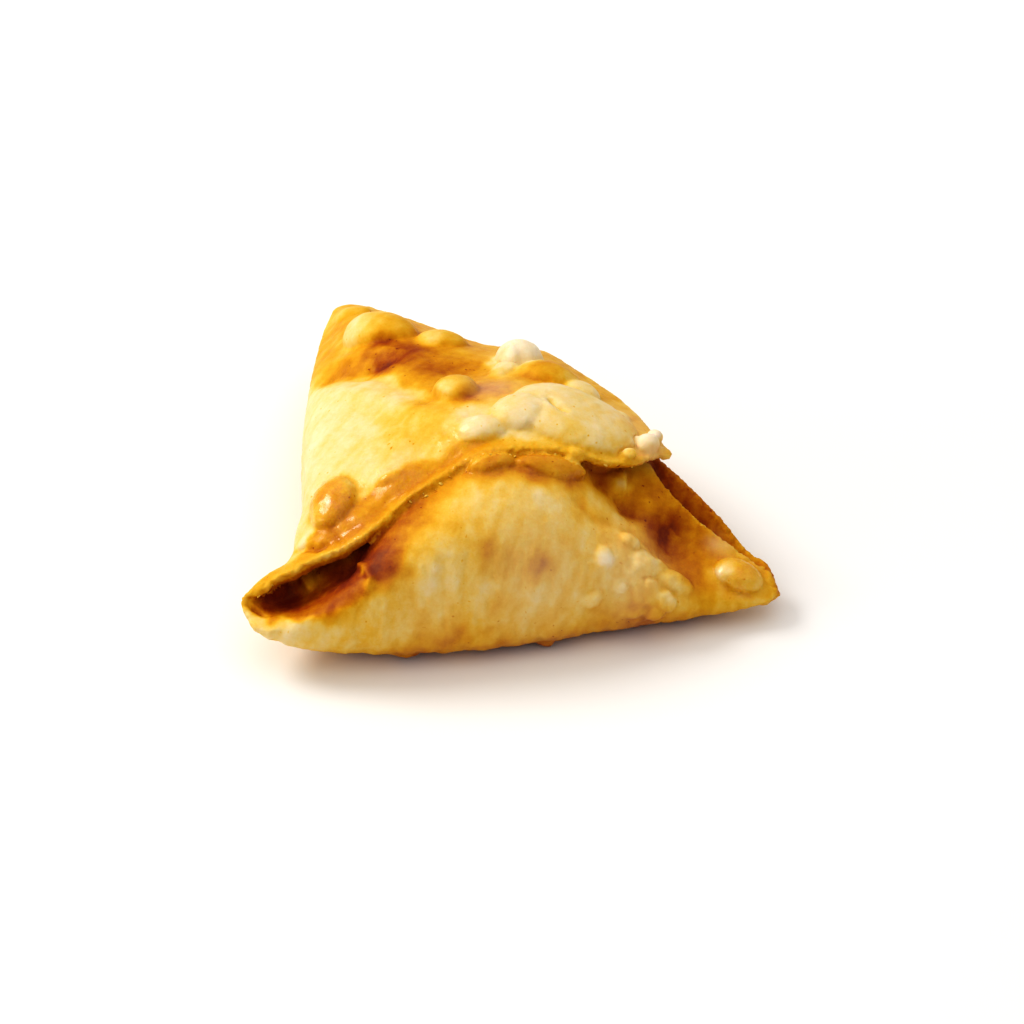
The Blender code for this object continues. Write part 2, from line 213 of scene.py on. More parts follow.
shares = np.linspace(0, 1, 160)
under_flap = {share * CORNER_SHARE: point for share, point in RIM.items() if share < 1}
rim = smooth_guide({**under_flap, **FRONT_LAYER_EDGE}, shares)
rim -= up(np.where(shares < CORNER_SHARE, RIM_TUCKED_UNDER, 0.0) * np.sin(np.pi * shares))
tuck = smooth_guide({**TUCK, **FRONT_LAYER_EDGE}, shares)
belly = smooth_guide(BELLY, shares)
foot_front = smooth_guide(FOOT_FRONT, shares)
foot_back = smooth_guide(FOOT_BACK, shares)

crown = up(np.interp(shares, *np.array(CROWN).T))
parcel_top = sections(rim, rim + (tuck - rim) * 0.3 + crown, tuck + (rim - tuck) * 0.35 + crown, tuck, 14)
run, slope, rise = smooth_values(FRONT_SWELL, shares)
forward = np.tile((0.0, -1.0, 0.0), (len(shares), 1))
parcel_front = sections(tuck, tuck + forward * run[:, None] + up(run * slope), belly + up(rise), belly, 60)
groove = np.interp(shares, *np.array(MOUTH_GROOVE).T)
across = np.linspace(0, 1, 60)
hollow = smooth_step(across / 0.12) * smooth_step((0.66 - across) / 0.4)
parcel_front[:, :, 2] -= groove[:, None] * hollow[None, :]
drop = 0.6 * (belly[:, 2] - foot_front[:, 2])
tread = 0.6 * (foot_front[:, 1] - belly[:, 1])
parcel_hem = sections(belly, belly - up(drop), foot_front + forward * tread[:, None], foot_front, 12)
third = (foot_back - foot_front) / 3
parcel_base = sections(foot_front, foot_front + third, foot_back - third, foot_back, 12)
spread = rim - foot_back
parcel_back = sections(foot_back, foot_back + spread * (0.6, 0.6, 0.0), rim - up(0.35 * spread[:, 2]), rim, 16)
parcel_sides = (parcel_top, parcel_front, parcel_hem, parcel_base, parcel_back)
parcel = tube(np.concatenate([side[:, :-1] for side in parcel_sides], axis=1))


# --- The last flap -------------------------------------------------------------------------------
# The end of the strip comes over the parcel from the back and is not sealed, so its cut edge is a
# free lip. The edge dried into a thin bead, and a shallow trough of oil fried in behind it.

PASTRY_THICKNESS = 1.2
# Share, then how thick the lip is.
LIP_THICKNESS = ((0.0, 1.2), (0.04, 2.2), (0.13, 2.7), (0.22, 2.3), (0.34, 2.1), (0.46, 1.4), (1.0, 1.2))
SLOT_DEPTH = 8.0
FLAP_ROOT_THICKNESS = 9.0

LIP = {
    0.00: BEAK,
    0.05: (-42.0, 7.0, 14.2),
    0.13: (-36.0, 7.6, 17.5),
    0.22: (-28.0, 8.8, 21.0),
    0.42: (-15.0, 17.3, 27.0),
    0.58: (-4.0, 23.4, 29.8),
    0.72: (7.0, 25.6, 28.8),
    0.90: (20.0, 27.3, 24.6),
    1.00: LOOSE_CORNER,
}
# Share, then run and rise at the lip, and run and rise at the rim.
FLAP_SWELL = (
    (0.00, 0.0, 0.0, 0.0, 0.0),
    (0.05, 1.0, 0.5, 1.0, 2.0),
    (0.09, 2.0, 1.0, 1.0, 3.5),
    (0.13, 4.0, 1.5, 1.0, 5.5),
    (0.22, 10.0, 3.0, 2.0, 10.0),
    (0.42, 24.0, 6.0, 22.0, 5.0),
    (0.58, 18.0, 4.0, 12.0, 6.0),
    (0.72, 14.0, 3.0, 9.0, 5.0),
    (0.90, 7.0, 1.0, 5.0, 2.0),
    (1.00, 0.0, 0.0, 0.0, 0.0),
)
BEAD_HEIGHT = 0.3
BEAD_WIDTH = 0.8
# Share, then the depth of the trough.
TROUGH = ((0.0, 0.0), (0.10, 0.2), (0.20, 0.5), (0.32, 0.8), (0.48, 0.9), (0.60, 0.4), (0.70, 0.2), (1.0, 0.2))
TROUGH_PLACE = 3.2
TROUGH_WIDTH = 1.7


def grid_normals(grid):
    """Upward unit normals of an open grid."""
    across, along = np.gradient(grid, axis=0), np.gradient(grid, axis=1)
    normals = np.cross(across, along)
    normals /= np.maximum(np.linalg.norm(normals, axis=2, keepdims=True), 1e-9)
    if normals[:, :, 2].mean() < 0:
        normals = -normals
    normals[0], normals[-1] = normals[1], normals[-2]
    return normals


shares = np.linspace(0, 1, 220)
lip = smooth_guide(LIP, shares)
rim = smooth_guide(RIM, shares)
inward = (rim - lip) * (1, 1, 0)
inward /= np.linalg.norm(inward, axis=1, keepdims=True) + 1e-9
lip_run, lip_rise, rim_run, rim_rise = smooth_values(FLAP_SWELL, shares)
lip_handle = lip + inward * lip_run[:, None] + up(lip_rise)
rim_handle = rim - inward * rim_run[:, None] + up(rim_rise)
flap_top = sections(lip, lip_handle, rim_handle, rim, 160)
steps = np.linalg.norm(np.diff(flap_top, axis=1), axis=2)
from_lip = np.concatenate([np.zeros((len(shares), 1)), np.cumsum(steps, axis=1)], axis=1)
width = from_lip[:, -1:]
slot_depth = np.minimum(SLOT_DEPTH, 0.6 * width)
rooted = smooth_step((from_lip - slot_depth) / 3.0)
lip_thickness = np.interp(shares, *np.array(LIP_THICKNESS).T)[:, None]
thickness = lip_thickness + (FLAP_ROOT_THICKNESS - lip_thickness) * rooted
thickness = np.minimum(thickness, 0.6 + 0.6 * (width - from_lip))
normals = grid_normals(flap_top)
bead = BEAD_HEIGHT * np.exp(-((from_lip / BEAD_WIDTH) ** 2))
trough = np.interp(shares, *np.array(TROUGH).T)[:, None]
trough = trough * np.exp(-(((from_lip - TROUGH_PLACE) / TROUGH_WIDTH) ** 2))
flap_bottom = flap_top - normals * (thickness + 0.5 * trough)[:, :, None]
profile = (bead - trough) * smooth_step((width - from_lip) / 6)
flap_top = flap_top + normals * profile[:, :, None]
flap = tube(np.concatenate([flap_top, flap_bottom[:, ::-1]], axis=1))


# --- The back layer ------------------------------------------------------------------------------
# At the right-hand corner the wrap ends in two layers that did not seal. The back one stands a
# little apart from the front one, with its root fast in the parcel.

BACK_LAYER_EDGE = {
    0.00: (16.0, 48.0, 19.0),
    0.20: (24.0, 38.0, 19.6),
    0.40: (30.9, 31.2, 16.7),
    0.60: (36.3, 27.2, 12.9),
    0.80: (41.2, 23.4, 8.4),
    0.93: (44.9, 20.4, 6.8),
    1.00: (46.1, 15.8, 5.0),
}
BACK_LAYER_ROOT = {
    0.00: (8.0, 40.0, 15.0),
    0.20: (14.0, 33.0, 13.0),
    0.40: (19.0, 27.0, 11.0),
    0.60: (25.0, 22.5, 7.0),
    0.80: (32.0, 18.5, 4.6),
    0.93: (39.0, 16.5, 4.2),
    1.00: (44.0, 15.0, 4.4),
}

shares = np.linspace(0, 1, 90)
edge = smooth_guide(BACK_LAYER_EDGE, shares)
root = smooth_guide(BACK_LAYER_ROOT, shares)
sag = up(np.full(len(shares), -0.8))
back_top = sections(edge, edge + (root - edge) / 3 + sag, root + (edge - root) / 3 + sag, root, 30)
back_bottom = back_top - grid_normals(back_top) * PASTRY_THICKNESS
back_layer = tube(np.concatenate([back_top, back_bottom[:, ::-1]], axis=1))


# --- Bubbles and inner folds ---------------------------------------------------------------------
# Hot oil blew the thinnest places of the pastry up into bubbles that stand nearly round, and the
# ends of inner layers show as soft folds in the open beak.
# Each is a rounded lump: its place, the heading of its long axis, and its three half sizes.

BUBBLES = (
    ((1.2, 57.6, 24.4), (1.0, 0.1, 0.0), 4.4, 4.2, 4.2),
    ((23.5, 33.6, 23.9), (1.0, 0.0, 0.0), 2.3, 2.2, 2.0),
    ((24.9, 36.2, 23.7), (1.0, 0.0, 0.0), 1.5, 1.5, 1.4),
    ((20.2, 29.2, 25.4), (1.0, 0.0, 0.0), 1.3, 1.1, 1.0),
    ((10.8, 26.2, 27.2), (1.0, 0.0, -0.2), 2.1, 1.5, 1.4),
    ((-3.6, 22.0, 28.3), (1.0, 0.3, 0.05), 4.2, 2.2, 2.1),
    ((6.6, 23.4, 26.7), (1.0, 0.15, -0.3), 6.4, 2.4, 2.2),
    ((39.2, 17.4, 7.9), (1.0, -0.2, -0.35), 4.5, 3.3, 2.4),
    ((-43.0, 7.0, 13.1), (1.0, 0.3, 0.5), 2.4, 0.8, 1.0),
    ((26.3, 33.4, 22.3), (1.0, 0.3, -0.3), 1.5, 1.6, 0.9),
    ((5.6, 7.4, 2.0), (1.0, 0.0, 0.4), 1.6, 1.3, 1.6),
    ((-18.0, 3.6, 2.6), (1.0, 0.0, 0.0), 2.6, 1.0, 1.2),
)
INNER_FOLDS = (
    ((-34.2, 11.2, 11.4), (1.0, -1.1, -0.8), 3.0, 1.4, 1.1),
)


def lump(centre, heading, half_length, half_width, half_height):
    """A closed ellipsoid with its long axis along the heading."""
    along = Vector(heading).normalized()
    across = Vector((0, 0, 1)).cross(along).normalized()
    out = along.cross(across)
    build = bmesh.new()
    bmesh.ops.create_icosphere(build, subdivisions=4, radius=1)
    points = []
    for vert in build.verts:
        x, y, z = vert.co
        offset = along * x * half_length + across * y * half_width + out * z * half_height
        points.append(tuple(Vector(centre) + offset))
    faces = [tuple(v.index for v in face.verts) for face in build.faces]
    build.free()
    return points, faces


lumps = [lump(*sizes) for sizes in BUBBLES + INNER_FOLDS]


# --- The crust -----------------------------------------------------------------------------------
# All the layers fry together into one skin, which swells where steam lifts it, sinks between the
# folds, and breaks out in blisters.

SKIN_VOXEL = 0.5
FINE_VOXEL = 0.36
MOST_TRIANGLES = 188000
BLISTER_SOFTENING = 2

# Where, reach, and height (a dent is negative).
SWELLINGS = (
    ((20.0, 25.0, 17.5), 4.5, -1.8),
    ((30.0, 21.0, 11.5), 5.0, -1.6),
    ((27.0, 19.0, 12.5), 4.0, -1.2),
    ((-36.0, 19.0, 15.0), 4.0, 0.9),
    ((19.0, 14.0, 15.0), 6.0, 1.3),
    ((25.0, 10.0, 8.5), 5.0, 1.5),
    ((-15.0, 25.0, 28.5), 4.5, -0.9),
    ((-25.0, 18.5, 24.0), 4.0, -0.9),
    ((-33.0, 61.0, 18.5), 4.0, -1.3),
    ((-24.0, 57.5, 22.5), 4.5, -1.6),
    ((-8.0, 51.0, 26.0), 6.0, -1.2),
    ((-27.0, 48.0, 24.0), 6.0, 1.0),
    ((-12.0, 35.0, 30.0), 6.0, 0.7),
    ((15.7, 26.4, 21.8), 3.0, -1.4),
    ((20.2, 24.4, 17.2), 2.2, -1.2),
    ((23.4, 26.6, 16.6), 2.2, 1.0),
    ((27.2, 23.4, 13.2), 3.2, -1.4),
    ((-27.6, 9.5, 15.5), 2.6, -1.2),
    ((-38.5, 10.4, 9.0), 2.4, -0.8),
)
# Where, heading of the long axis, half length, half width, height, and how flat-topped it is.
BLISTERS = (
    ((-24.0, 70.0, 20.5), (1.0, -0.4, 0.3), 7.2, 5.6, 3.0, 0.60),
    ((-29.5, 84.0, 16.5), (1.0, 0.3, 0.0), 3.6, 2.6, 0.9, 0.60),
    ((-12.8, 65.5, 22.0), (1.0, 0.3, -0.2), 4.8, 3.8, 1.9, 0.60),
    ((-10.0, 42.5, 29.5), (1.0, -0.1, 0.0), 4.1, 4.1, 2.6, 0.55),
    ((6.5, 51.0, 26.0), (1.0, 0.1, -0.2), 6.0, 4.4, 1.9, 0.60),
    ((-1.2, 53.0, 26.5), (0.4, 1.0, 0.0), 5.5, 2.2, 1.0, 0.60),
    ((11.3, 36.6, 29.0), (1.0, -0.1, -0.2), 11.6, 9.0, 2.3, 0.42),
    ((1.8, 34.6, 30.6), (1.0, 0.6, 0.0), 5.8, 4.6, 2.4, 0.50),
    ((12.6, 46.5, 26.0), (1.0, 0.0, -0.3), 3.4, 4.4, 1.7, 0.45),
    ((17.2, 39.0, 25.6), (0.6, 1.0, -0.3), 5.6, 3.0, 0.9, 0.40),
    ((-31.2, 19.2, 23.4), (0.2, 0.9, 0.4), 5.5, 4.0, 2.2, 0.42),
    ((-5.2, 29.6, 30.8), (1.0, 0.3, 0.0), 4.6, 3.2, 1.5, 0.75),
    ((-21.0, 21.6, 26.4), (1.0, 0.4, 0.2), 3.0, 1.5, 0.6, 0.70),
    ((15.6, 10.8, 17.0), (1.0, 0.0, 0.0), 1.7, 2.2, 0.8, 0.60),
    ((20.2, 15.3, 17.2), (0.3, 0.0, -1.0), 2.0, 1.4, 1.1, 0.60),
    ((23.3, 12.8, 14.2), (1.0, 0.0, -0.4), 3.2, 2.6, 1.0, 0.75),
    ((23.2, 10.0, 10.4), (0.4, 0.0, -1.0), 2.6, 2.2, 0.5, 0.90),
    ((25.2, 13.9, 12.4), (0.6, 0.0, -1.0), 2.6, 1.6, 1.0, 0.60),
    ((28.0, 12.6, 11.0), (0.3, 0.2, -1.0), 3.8, 2.1, 1.3, 0.60),
    ((26.6, 9.4, 8.7), (0.5, 0.0, -1.0), 2.2, 1.6, 0.9, 0.60),
    ((24.5, 8.6, 6.5), (1.0, 0.0, 0.0), 1.9, 1.5, 1.0, 0.60),
    ((21.0, 8.4, 7.4), (1.0, 0.0, 0.2), 2.2, 1.4, 0.6, 0.70),
    ((13.6, 7.2, 11.0), (1.0, 0.0, 0.6), 2.0, 1.5, 1.0, 0.60),
    ((18.4, 9.0, 12.6), (1.0, 0.0, 0.0), 1.5, 1.3, 0.5, 0.70),
)
# A line down the middle of each crease or ridge, then its half width and height.
CREASES = (
    (((-33.5, 52.0, 21.5), (-24.6, 44.3, 26.3), (-14.2, 34.6, 29.9), (-8.0, 30.5, 30.8)), 2.2, 0.45),
    (((-34.0, 62.0, 17.8), (-24.9, 53.8, 24.4), (-17.5, 45.3, 27.8), (-14.0, 38.5, 29.3)), 2.2, -0.55),
    (((-32.0, 66.0, 17.5), (-26.0, 63.0, 21.0), (-20.0, 60.5, 23.5)), 1.1, 0.4),
    (((-26.5, 58.5, 22.0), (-20.5, 56.5, 24.6)), 1.2, -0.6),
    (((-41.4, 2.6, 9.9), (-35.8, 0.6, 11.0), (-31.0, 0.5, 12.8), (-25.5, 1.2, 15.4)), 1.1, 0.45),
    (((-26.4, 8.6, 17.6), (-24.4, 6.0, 18.6), (-23.5, 3.6, 18.4), (-24.6, 1.8, 16.4)), 0.7, 0.8),
    (((-45.0, 5.4, 10.8), (-43.2, 4.4, 9.9), (-41.6, 3.4, 9.9)), 0.45, -0.7),
    (((18.6, 30.8, 20.8), (19.1, 29.2, 19.7), (19.5, 27.0, 18.0)), 0.9, 1.2),
    (((9.9, 19.3, 24.7), (14.5, 16.5, 21.0), (19.5, 17.8, 17.4), (26.4, 17.0, 11.8)), 1.2, -0.4),
    (((6.1, 37.4, 31.6), (7.8, 35.2, 31.6), (9.4, 33.9, 31.3)), 0.55, -0.8),
    (((5.0, 35.6, 31.6), (7.2, 33.8, 31.4)), 0.6, 0.35),
    (((-30.8, 12.6, 22.0), (-28.6, 9.4, 21.4)), 0.7, -0.3),
    (((-37.0, 12.4, 17.0), (-35.5, 12.0, 18.0), (-33.2, 10.4, 19.6), (-31.0, 11.0, 20.8)), 0.7, -0.7),
)


def add_mesh_object(name, shells):
    """One mesh object from several closed shells of (points, faces)."""
    mesh = bpy.data.meshes.new(name)
    build = bmesh.new()
    for points, faces in shells:
        verts = [build.verts.new(p) for p in points]
        for face in faces:
            build.faces.new([verts[i] for i in face])
    bmesh.ops.remove_doubles(build, verts=build.verts, dist=1e-3)
    bmesh.ops.recalc_face_normals(build, faces=build.faces)
    build.to_mesh(mesh)
    build.free()
    obj = bpy.data.objects.new(name, mesh)
    bpy.context.scene.collection.objects.link(obj)
    return obj


def apply_modifiers(obj):
    graph = bpy.context.evaluated_depsgraph_get()
    obj.data = bpy.data.meshes.new_from_object(obj.evaluated_get(graph))
    obj.modifiers.clear()


def remesh(obj, voxel):
    """Joins overlapping shells into one skin."""
    modifier = obj.modifiers.new("One skin", "REMESH")
    modifier.mode = "VOXEL"
    modifier.voxel_size = voxel
    apply_modifiers(obj)


def vertex_arrays(mesh):
    """Every vertex's place and normal."""
    places = np.empty(len(mesh.vertices) * 3)
    mesh.vertices.foreach_get("co", places)
    normals = np.empty(len(mesh.vertices) * 3)
    mesh.vertices.foreach_get("normal", normals)
    return places.reshape(-1, 3), normals.reshape(-1, 3)


def move_skin(obj, moves):
    places, _ = vertex_arrays(obj.data)
    obj.data.vertices.foreach_set("co", (places + moves).ravel())
    obj.data.update()


def edge_ends(mesh):
    """The two vertices of every edge."""
    ends = np.empty(len(mesh.edges) * 2, np.int64)
    mesh.edges.foreach_get("vertices", ends)
    return ends.reshape(-1, 2)


def neighbour_mean(values, ends):
    """For each vertex, the mean of its own value and its neighbours' mean."""
    columns = values.reshape(len(values), -1).T
    count = np.bincount(ends.ravel(), minlength=len(values))
    means = []
    for column in columns:
        total = np.bincount(ends[:, 0], column[ends[:, 1]], len(column))
        total += np.bincount(ends[:, 1], column[ends[:, 0]], len(column))
        means.append((column + total / count) / 2)
    return np.array(means).T.reshape(values.shape)


def skin_tree(obj):
    return BVHTree.FromObject(obj, bpy.context.evaluated_depsgraph_get())


def swell(obj):
    """Moves the skin out or in at each swelling, fading smoothly with distance."""
    tree = skin_tree(obj)
    places, _ = vertex_arrays(obj.data)
    moves = np.zeros_like(places)
    for centre, reach, height in SWELLINGS:
        seat, out, _, _ = tree.find_nearest(Vector(centre))
        distance = np.linalg.norm(places - np.array(seat), axis=1)
        moves += np.outer(height * np.exp(-((distance / reach) ** 2)), out)
    move_skin(obj, moves)


def blister(obj):
    """Raises each blister as an oval dome with a definite edge."""
    tree = skin_tree(obj)
    places, normals = vertex_arrays(obj.data)
    heights = np.zeros(len(places))
    for centre, heading, half_length, half_width, height, power in BLISTERS:
        seat, out, _, _ = tree.find_nearest(Vector(centre))
        along = Vector(heading)
        along = (along - out * along.dot(out)).normalized()
        across = out.cross(along)
        offset = places - np.array(seat)
        oval = (offset @ np.array(along) / half_length) ** 2
        oval += (offset @ np.array(across) / half_width) ** 2
        oval += (offset @ np.array(out) / (half_width + height)) ** 2 * 0.5
        facing = normals @ np.array(out) > 0.2
        heights = np.maximum(heights, height * np.clip(1 - oval, 0, 1) ** power * facing)
    ends = edge_ends(obj.data)
    for _ in range(BLISTER_SOFTENING):
        heights = neighbour_mean(heights, ends)
    move_skin(obj, normals * heights[:, None])


def distances(places, line):
    """How far each place is from a line of points, and which of the line's points is nearest."""
    nearest = np.full(len(places), np.inf)
    which = np.zeros(len(places), int)
    for i, point in enumerate(line):
        square = ((places - point) ** 2).sum(1)
        closer = square < nearest
        nearest[closer] = square[closer]
        which[closer] = i
    return np.sqrt(nearest), which


def dense_line(points, step):
    """Points about a step apart along straight legs between the given ones."""
    line = []
    for start, end in zip(points, points[1:]):
        start, end = np.array(start), np.array(end)
        count = max(2, math.ceil(np.linalg.norm(end - start) / step))
        line += [start + (end - start) * k / count for k in range(count)]
    return np.array(line + [np.array(points[-1])])


def crease(obj):
    """Raises or sinks the skin along each crease."""
    tree = skin_tree(obj)
    places, normals = vertex_arrays(obj.data)
    heights = np.zeros(len(places))
    for points, half_width, height in CREASES:
        found = [tree.find_nearest(Vector(p)) for p in dense_line(points, 0.5)]
        line = np.array([hit[0] for hit in found])
        outs = np.array([hit[1] for hit in found])
        near = np.flatnonzero(distances(places, line[::4])[0] < 4 * half_width + 2)
        away, which = distances(places[near], line)
        taper = np.minimum(1, 0.35 + np.minimum(which, len(line) - 1 - which) / 4)
        facing = np.clip((normals[near] * outs[which]).sum(1), 0, 1)
        heights[near] += height * taper * facing * np.exp(-((away / half_width) ** 2))
    move_skin(obj, normals * heights[:, None])


def join_lumps(obj, shells):
    """Adds closed shells to the skin's mesh, for the next remesh to join."""
    build = bmesh.new()
    build.from_mesh(obj.data)
    for points, faces in shells:
        verts = [build.verts.new(p) for p in points]
        for face in faces:
            build.faces.new([verts[i] for i in face])
    build.to_mesh(obj.data)
    build.free()


def drop_crumbs(obj):
    """Keeps only the largest connected body: the join can leave loose specks inside the slot."""
    build = bmesh.new()
    build.from_mesh(obj.data)
    unseen = set(build.verts)
    bodies = []
    while unseen:
        body = {unseen.pop()}
        edge = set(body)
        while edge:
            edge = {e.other_vert(v) for v in edge for e in v.link_edges} & unseen
            unseen -= edge
            body |= edge
        bodies.append(body)
    bodies.sort(key=len)
    bmesh.ops.delete(build, geom=[v for body in bodies[:-1] for v in body], context="VERTS")
    build.to_mesh(obj.data)
    build.free()


crust = add_mesh_object("crust", [parcel, flap, back_layer])
remesh(crust, SKIN_VOXEL)
swell(crust)
join_lumps(crust, lumps)
remesh(crust, FINE_VOXEL)
drop_crumbs(crust)
blister(crust)
crease(crust)


# --- Fine relief ---------------------------------------------------------------------------------
# The front dried into slack vertical wrinkles, the cut lip is crumbly, and the whole skin is a
# little uneven from frying.

# Wavelengths across x, y and z, how high the relief is, and how many octaves it has.
WRINKLES = ((3.4, 16.0, 11.0), 0.34, 4)
RIPPLES = ((2.2, 2.2, 2.2), 0.10, 3)
CRUMBLE = ((0.8, 0.8, 0.8), 0.30, 2)
CRUMBLE_REACH = 1.1
BUMPS = ((2.9, 2.9, 2.9), 0.75, 2)
BUMPY_PLACE = (22.5, 11.5, 12.0)
BUMPY_REACH = 7.0


def relief(places, wavelengths, height, octaves):
    """Fractal relief at each place, from -height to height."""
    scaled = places / np.array(wavelengths)
    return height * np.array([noise.fractal(Vector(p), 0.9, 2.0, octaves) for p in scaled])


lip_line = smooth_guide(LIP, np.linspace(0, 1, 160))
back_line = smooth_guide(BACK_LAYER_EDGE, np.linspace(0, 1, 60))
front_line = smooth_guide(FRONT_LAYER_EDGE, np.linspace(0.84, 1, 40))
edge_lines = np.concatenate([lip_line, back_line, front_line])

places, normals = vertex_arrays(crust.data)
to_lip, _ = distances(places, lip_line)
to_edge, _ = distances(places, edge_lines)
heights = relief(places, *RIPPLES)
bumpy = np.exp(-((np.linalg.norm(places - np.array(BUMPY_PLACE), axis=1) / BUMPY_REACH) ** 2))
heights += np.abs(relief(places, *BUMPS)) * bumpy
front = smooth_step((0.75 - normals[:, 2]) / 0.3) * smooth_step((-normals[:, 1] + 0.1) / 0.3)
heights += relief(places, *WRINKLES) * front
heights += relief(places, *CRUMBLE) * np.exp(-((to_edge / CRUMBLE_REACH) ** 2))
move_skin(crust, normals * heights[:, None])

triangles = sum(len(face.vertices) - 2 for face in crust.data.polygons)
thinner = crust.modifiers.new("Fewer triangles", "DECIMATE")
thinner.ratio = min(1, MOST_TRIANGLES / triangles)
thinner.use_collapse_triangulate = True
apply_modifiers(crust)
crust.data.shade_smooth()


# --- How done the crust is, and its painted shade and light --------------------------------------
# Frying colours pastry from white where a bubble stood clear of the oil, through cream, straw, gold and amber,
# to brown. Doneness runs from 0, white, to 1, nearly burnt. The same value also carries painted shade, darker
# under the lip, in the open beak, in dents and hollows and along the hem by the table, and painted light,
# paler on raised skin and on a few lit spots. Oil left on the skin makes it glossy, and dry flour on it makes
# it pinkish and dull.

FLAP_DONENESS = 0.20
BROWNED_DONENESS = 0.50
FRONT_DONENESS = 0.32
BACK_DONENESS = 0.46
INSIDE_DONENESS = 0.82
BACK_LAYER_DONENESS = 0.76
# How dark the painted shade under the lip is.
UNDER_LIP_SHADE_DONENESS = 0.80
# Height above the table, then how done the front is: painted contact shade in the lowest couple of millimetres
# where the hem meets the table, and darker towards the bottom above that.
HEM_BROWNING_AND_SHADE = ((0.8, 0.96), (2.4, 0.70), (6.5, 0.48), (13.0, FRONT_DONENESS))
# In plan: behind this line the flap lay deeper in the oil, and browned.
BROWNED_LINE = (
    (-40.0, 63.0),
    (-33.0, 61.0),
    (-25.0, 54.0),
    (-17.5, 45.0),
    (-12.0, 38.0),
    (-5.0, 36.5),
    (2.0, 40.0),
)
BROWNED_FADE = 2.5

# Each patch: where, how far it reaches, how done it is there, and how firm its edge is. Some patches carry
# painted shade and some painted highlight, as marked below.
HANGING_BUBBLE_PATCHES = (
    ((3.4, 22.8, 27.6), 3.4, 0.60, 4),
    ((9.4, 22.6, 26.0), 3.4, 0.63, 4),
    ((-3.6, 21.4, 28.6), 3.8, 0.55, 4),
)
FLAP_PATCHES = (
    ((-32.0, 39.0, 23.0), 13.0, 0.13, 2),
    ((-31.0, 26.0, 23.0), 9.0, 0.18, 2),
    ((-14.0, 29.0, 29.0), 6.5, 0.36, 2),
    ((-20.0, 27.0, 27.5), 4.0, 0.30, 2),
    ((-15.9, 36.3, 29.8), 5.2, 0.50, 2),
    ((-19.5, 34.0, 28.6), 4.5, 0.36, 2),
    ((-24.0, 47.0, 25.5), 4.0, 0.28, 2),
    ((-34.0, 62.0, 17.5), 3.0, 0.50, 2),
    ((-32.0, 85.0, 15.5), 5.0, 0.42, 2),
    ((-29.2, 61.5, 20.5), 5.0, 0.66, 2),
    ((-21.6, 56.8, 24.2), 3.8, 0.98, 2),
    ((-14.5, 52.2, 26.5), 5.0, 0.74, 2),
    ((-6.5, 54.0, 25.5), 4.0, 0.68, 2),
    # Painted shadow along the lower right edge of the big back blister.
    ((-18.3, 60.6, 25.0), 4.6, 0.86, 2),
    ((-20.0, 74.0, 19.0), 4.0, 0.66, 2),
    ((-25.5, 70.0, 21.5), 6.0, 0.38, 4),
    # Painted lit side of the big back blister.
    ((-28.6, 69.5, 23.2), 3.4, 0.20, 2),
    # Painted shaded side of the big back blister.
    ((-22.9, 63.6, 24.0), 3.0, 0.84, 2),
    ((-12.8, 65.5, 22.0), 4.4, 0.48, 4),
    ((-14.0, 64.0, 24.0), 2.2, 0.34, 2),
    ((-10.0, 42.5, 30.0), 4.2, 0.52, 4),
    # Painted lit side of the round blister near the crown of the flap.
    ((-12.2, 40.8, 31.2), 2.2, 0.26, 2),
    # Painted shaded side of the same blister.
    ((-8.2, 38.7, 30.3), 2.4, 0.74, 2),
    ((-5.0, 61.5, 23.5), 4.0, 0.54, 2),
    ((-3.2, 42.5, 29.8), 4.4, 0.70, 2),
    ((5.8, 49.5, 27.5), 6.0, 0.64, 4),
    ((1.2, 57.4, 26.4), 5.4, 0.04, 6),
    ((-1.0, 52.6, 27.0), 3.0, 0.14, 2),
    ((-1.4, 49.0, 27.8), 2.2, 0.30, 2),
    ((10.5, 36.8, 31.0), 11.0, 0.16, 4),
    ((1.4, 33.6, 31.8), 5.8, 0.17, 4),
    ((13.0, 47.0, 26.5), 4.6, 0.20, 4),
    ((17.6, 39.0, 26.0), 5.4, 0.20, 4),
    ((17.5, 30.5, 28.0), 2.4, 0.40, 2),
    ((21.6, 36.4, 25.6), 2.8, 0.44, 2),
    ((9.0, 28.8, 29.8), 4.5, 0.34, 2),
    ((-5.4, 29.8, 31.6), 3.6, 0.10, 2),
    ((22.6, 40.0, 24.0), 2.6, 0.58, 2),
    ((26.5, 35.5, 23.0), 3.0, 0.56, 2),
    ((22.0, 31.0, 24.8), 3.0, 0.46, 2),
    ((23.7, 33.2, 25.2), 3.0, 0.00, 6),
    ((24.9, 36.2, 24.6), 2.0, 0.00, 6),
    ((20.2, 29.2, 25.6), 1.6, 0.02, 6),
    ((11.0, 27.0, 28.4), 1.9, 0.30, 4),
    ((-30.8, 18.6, 24.4), 5.0, 0.54, 4),
    ((-28.4, 13.4, 22.4), 4.4, 0.76, 2),
    ((-35.2, 12.8, 18.2), 2.8, 0.08, 2),
    ((-39.6, 8.0, 15.6), 4.5, 0.54, 2),
    ((-45.0, 5.8, 12.2), 2.6, 0.42, 2),
) + HANGING_BUBBLE_PATCHES
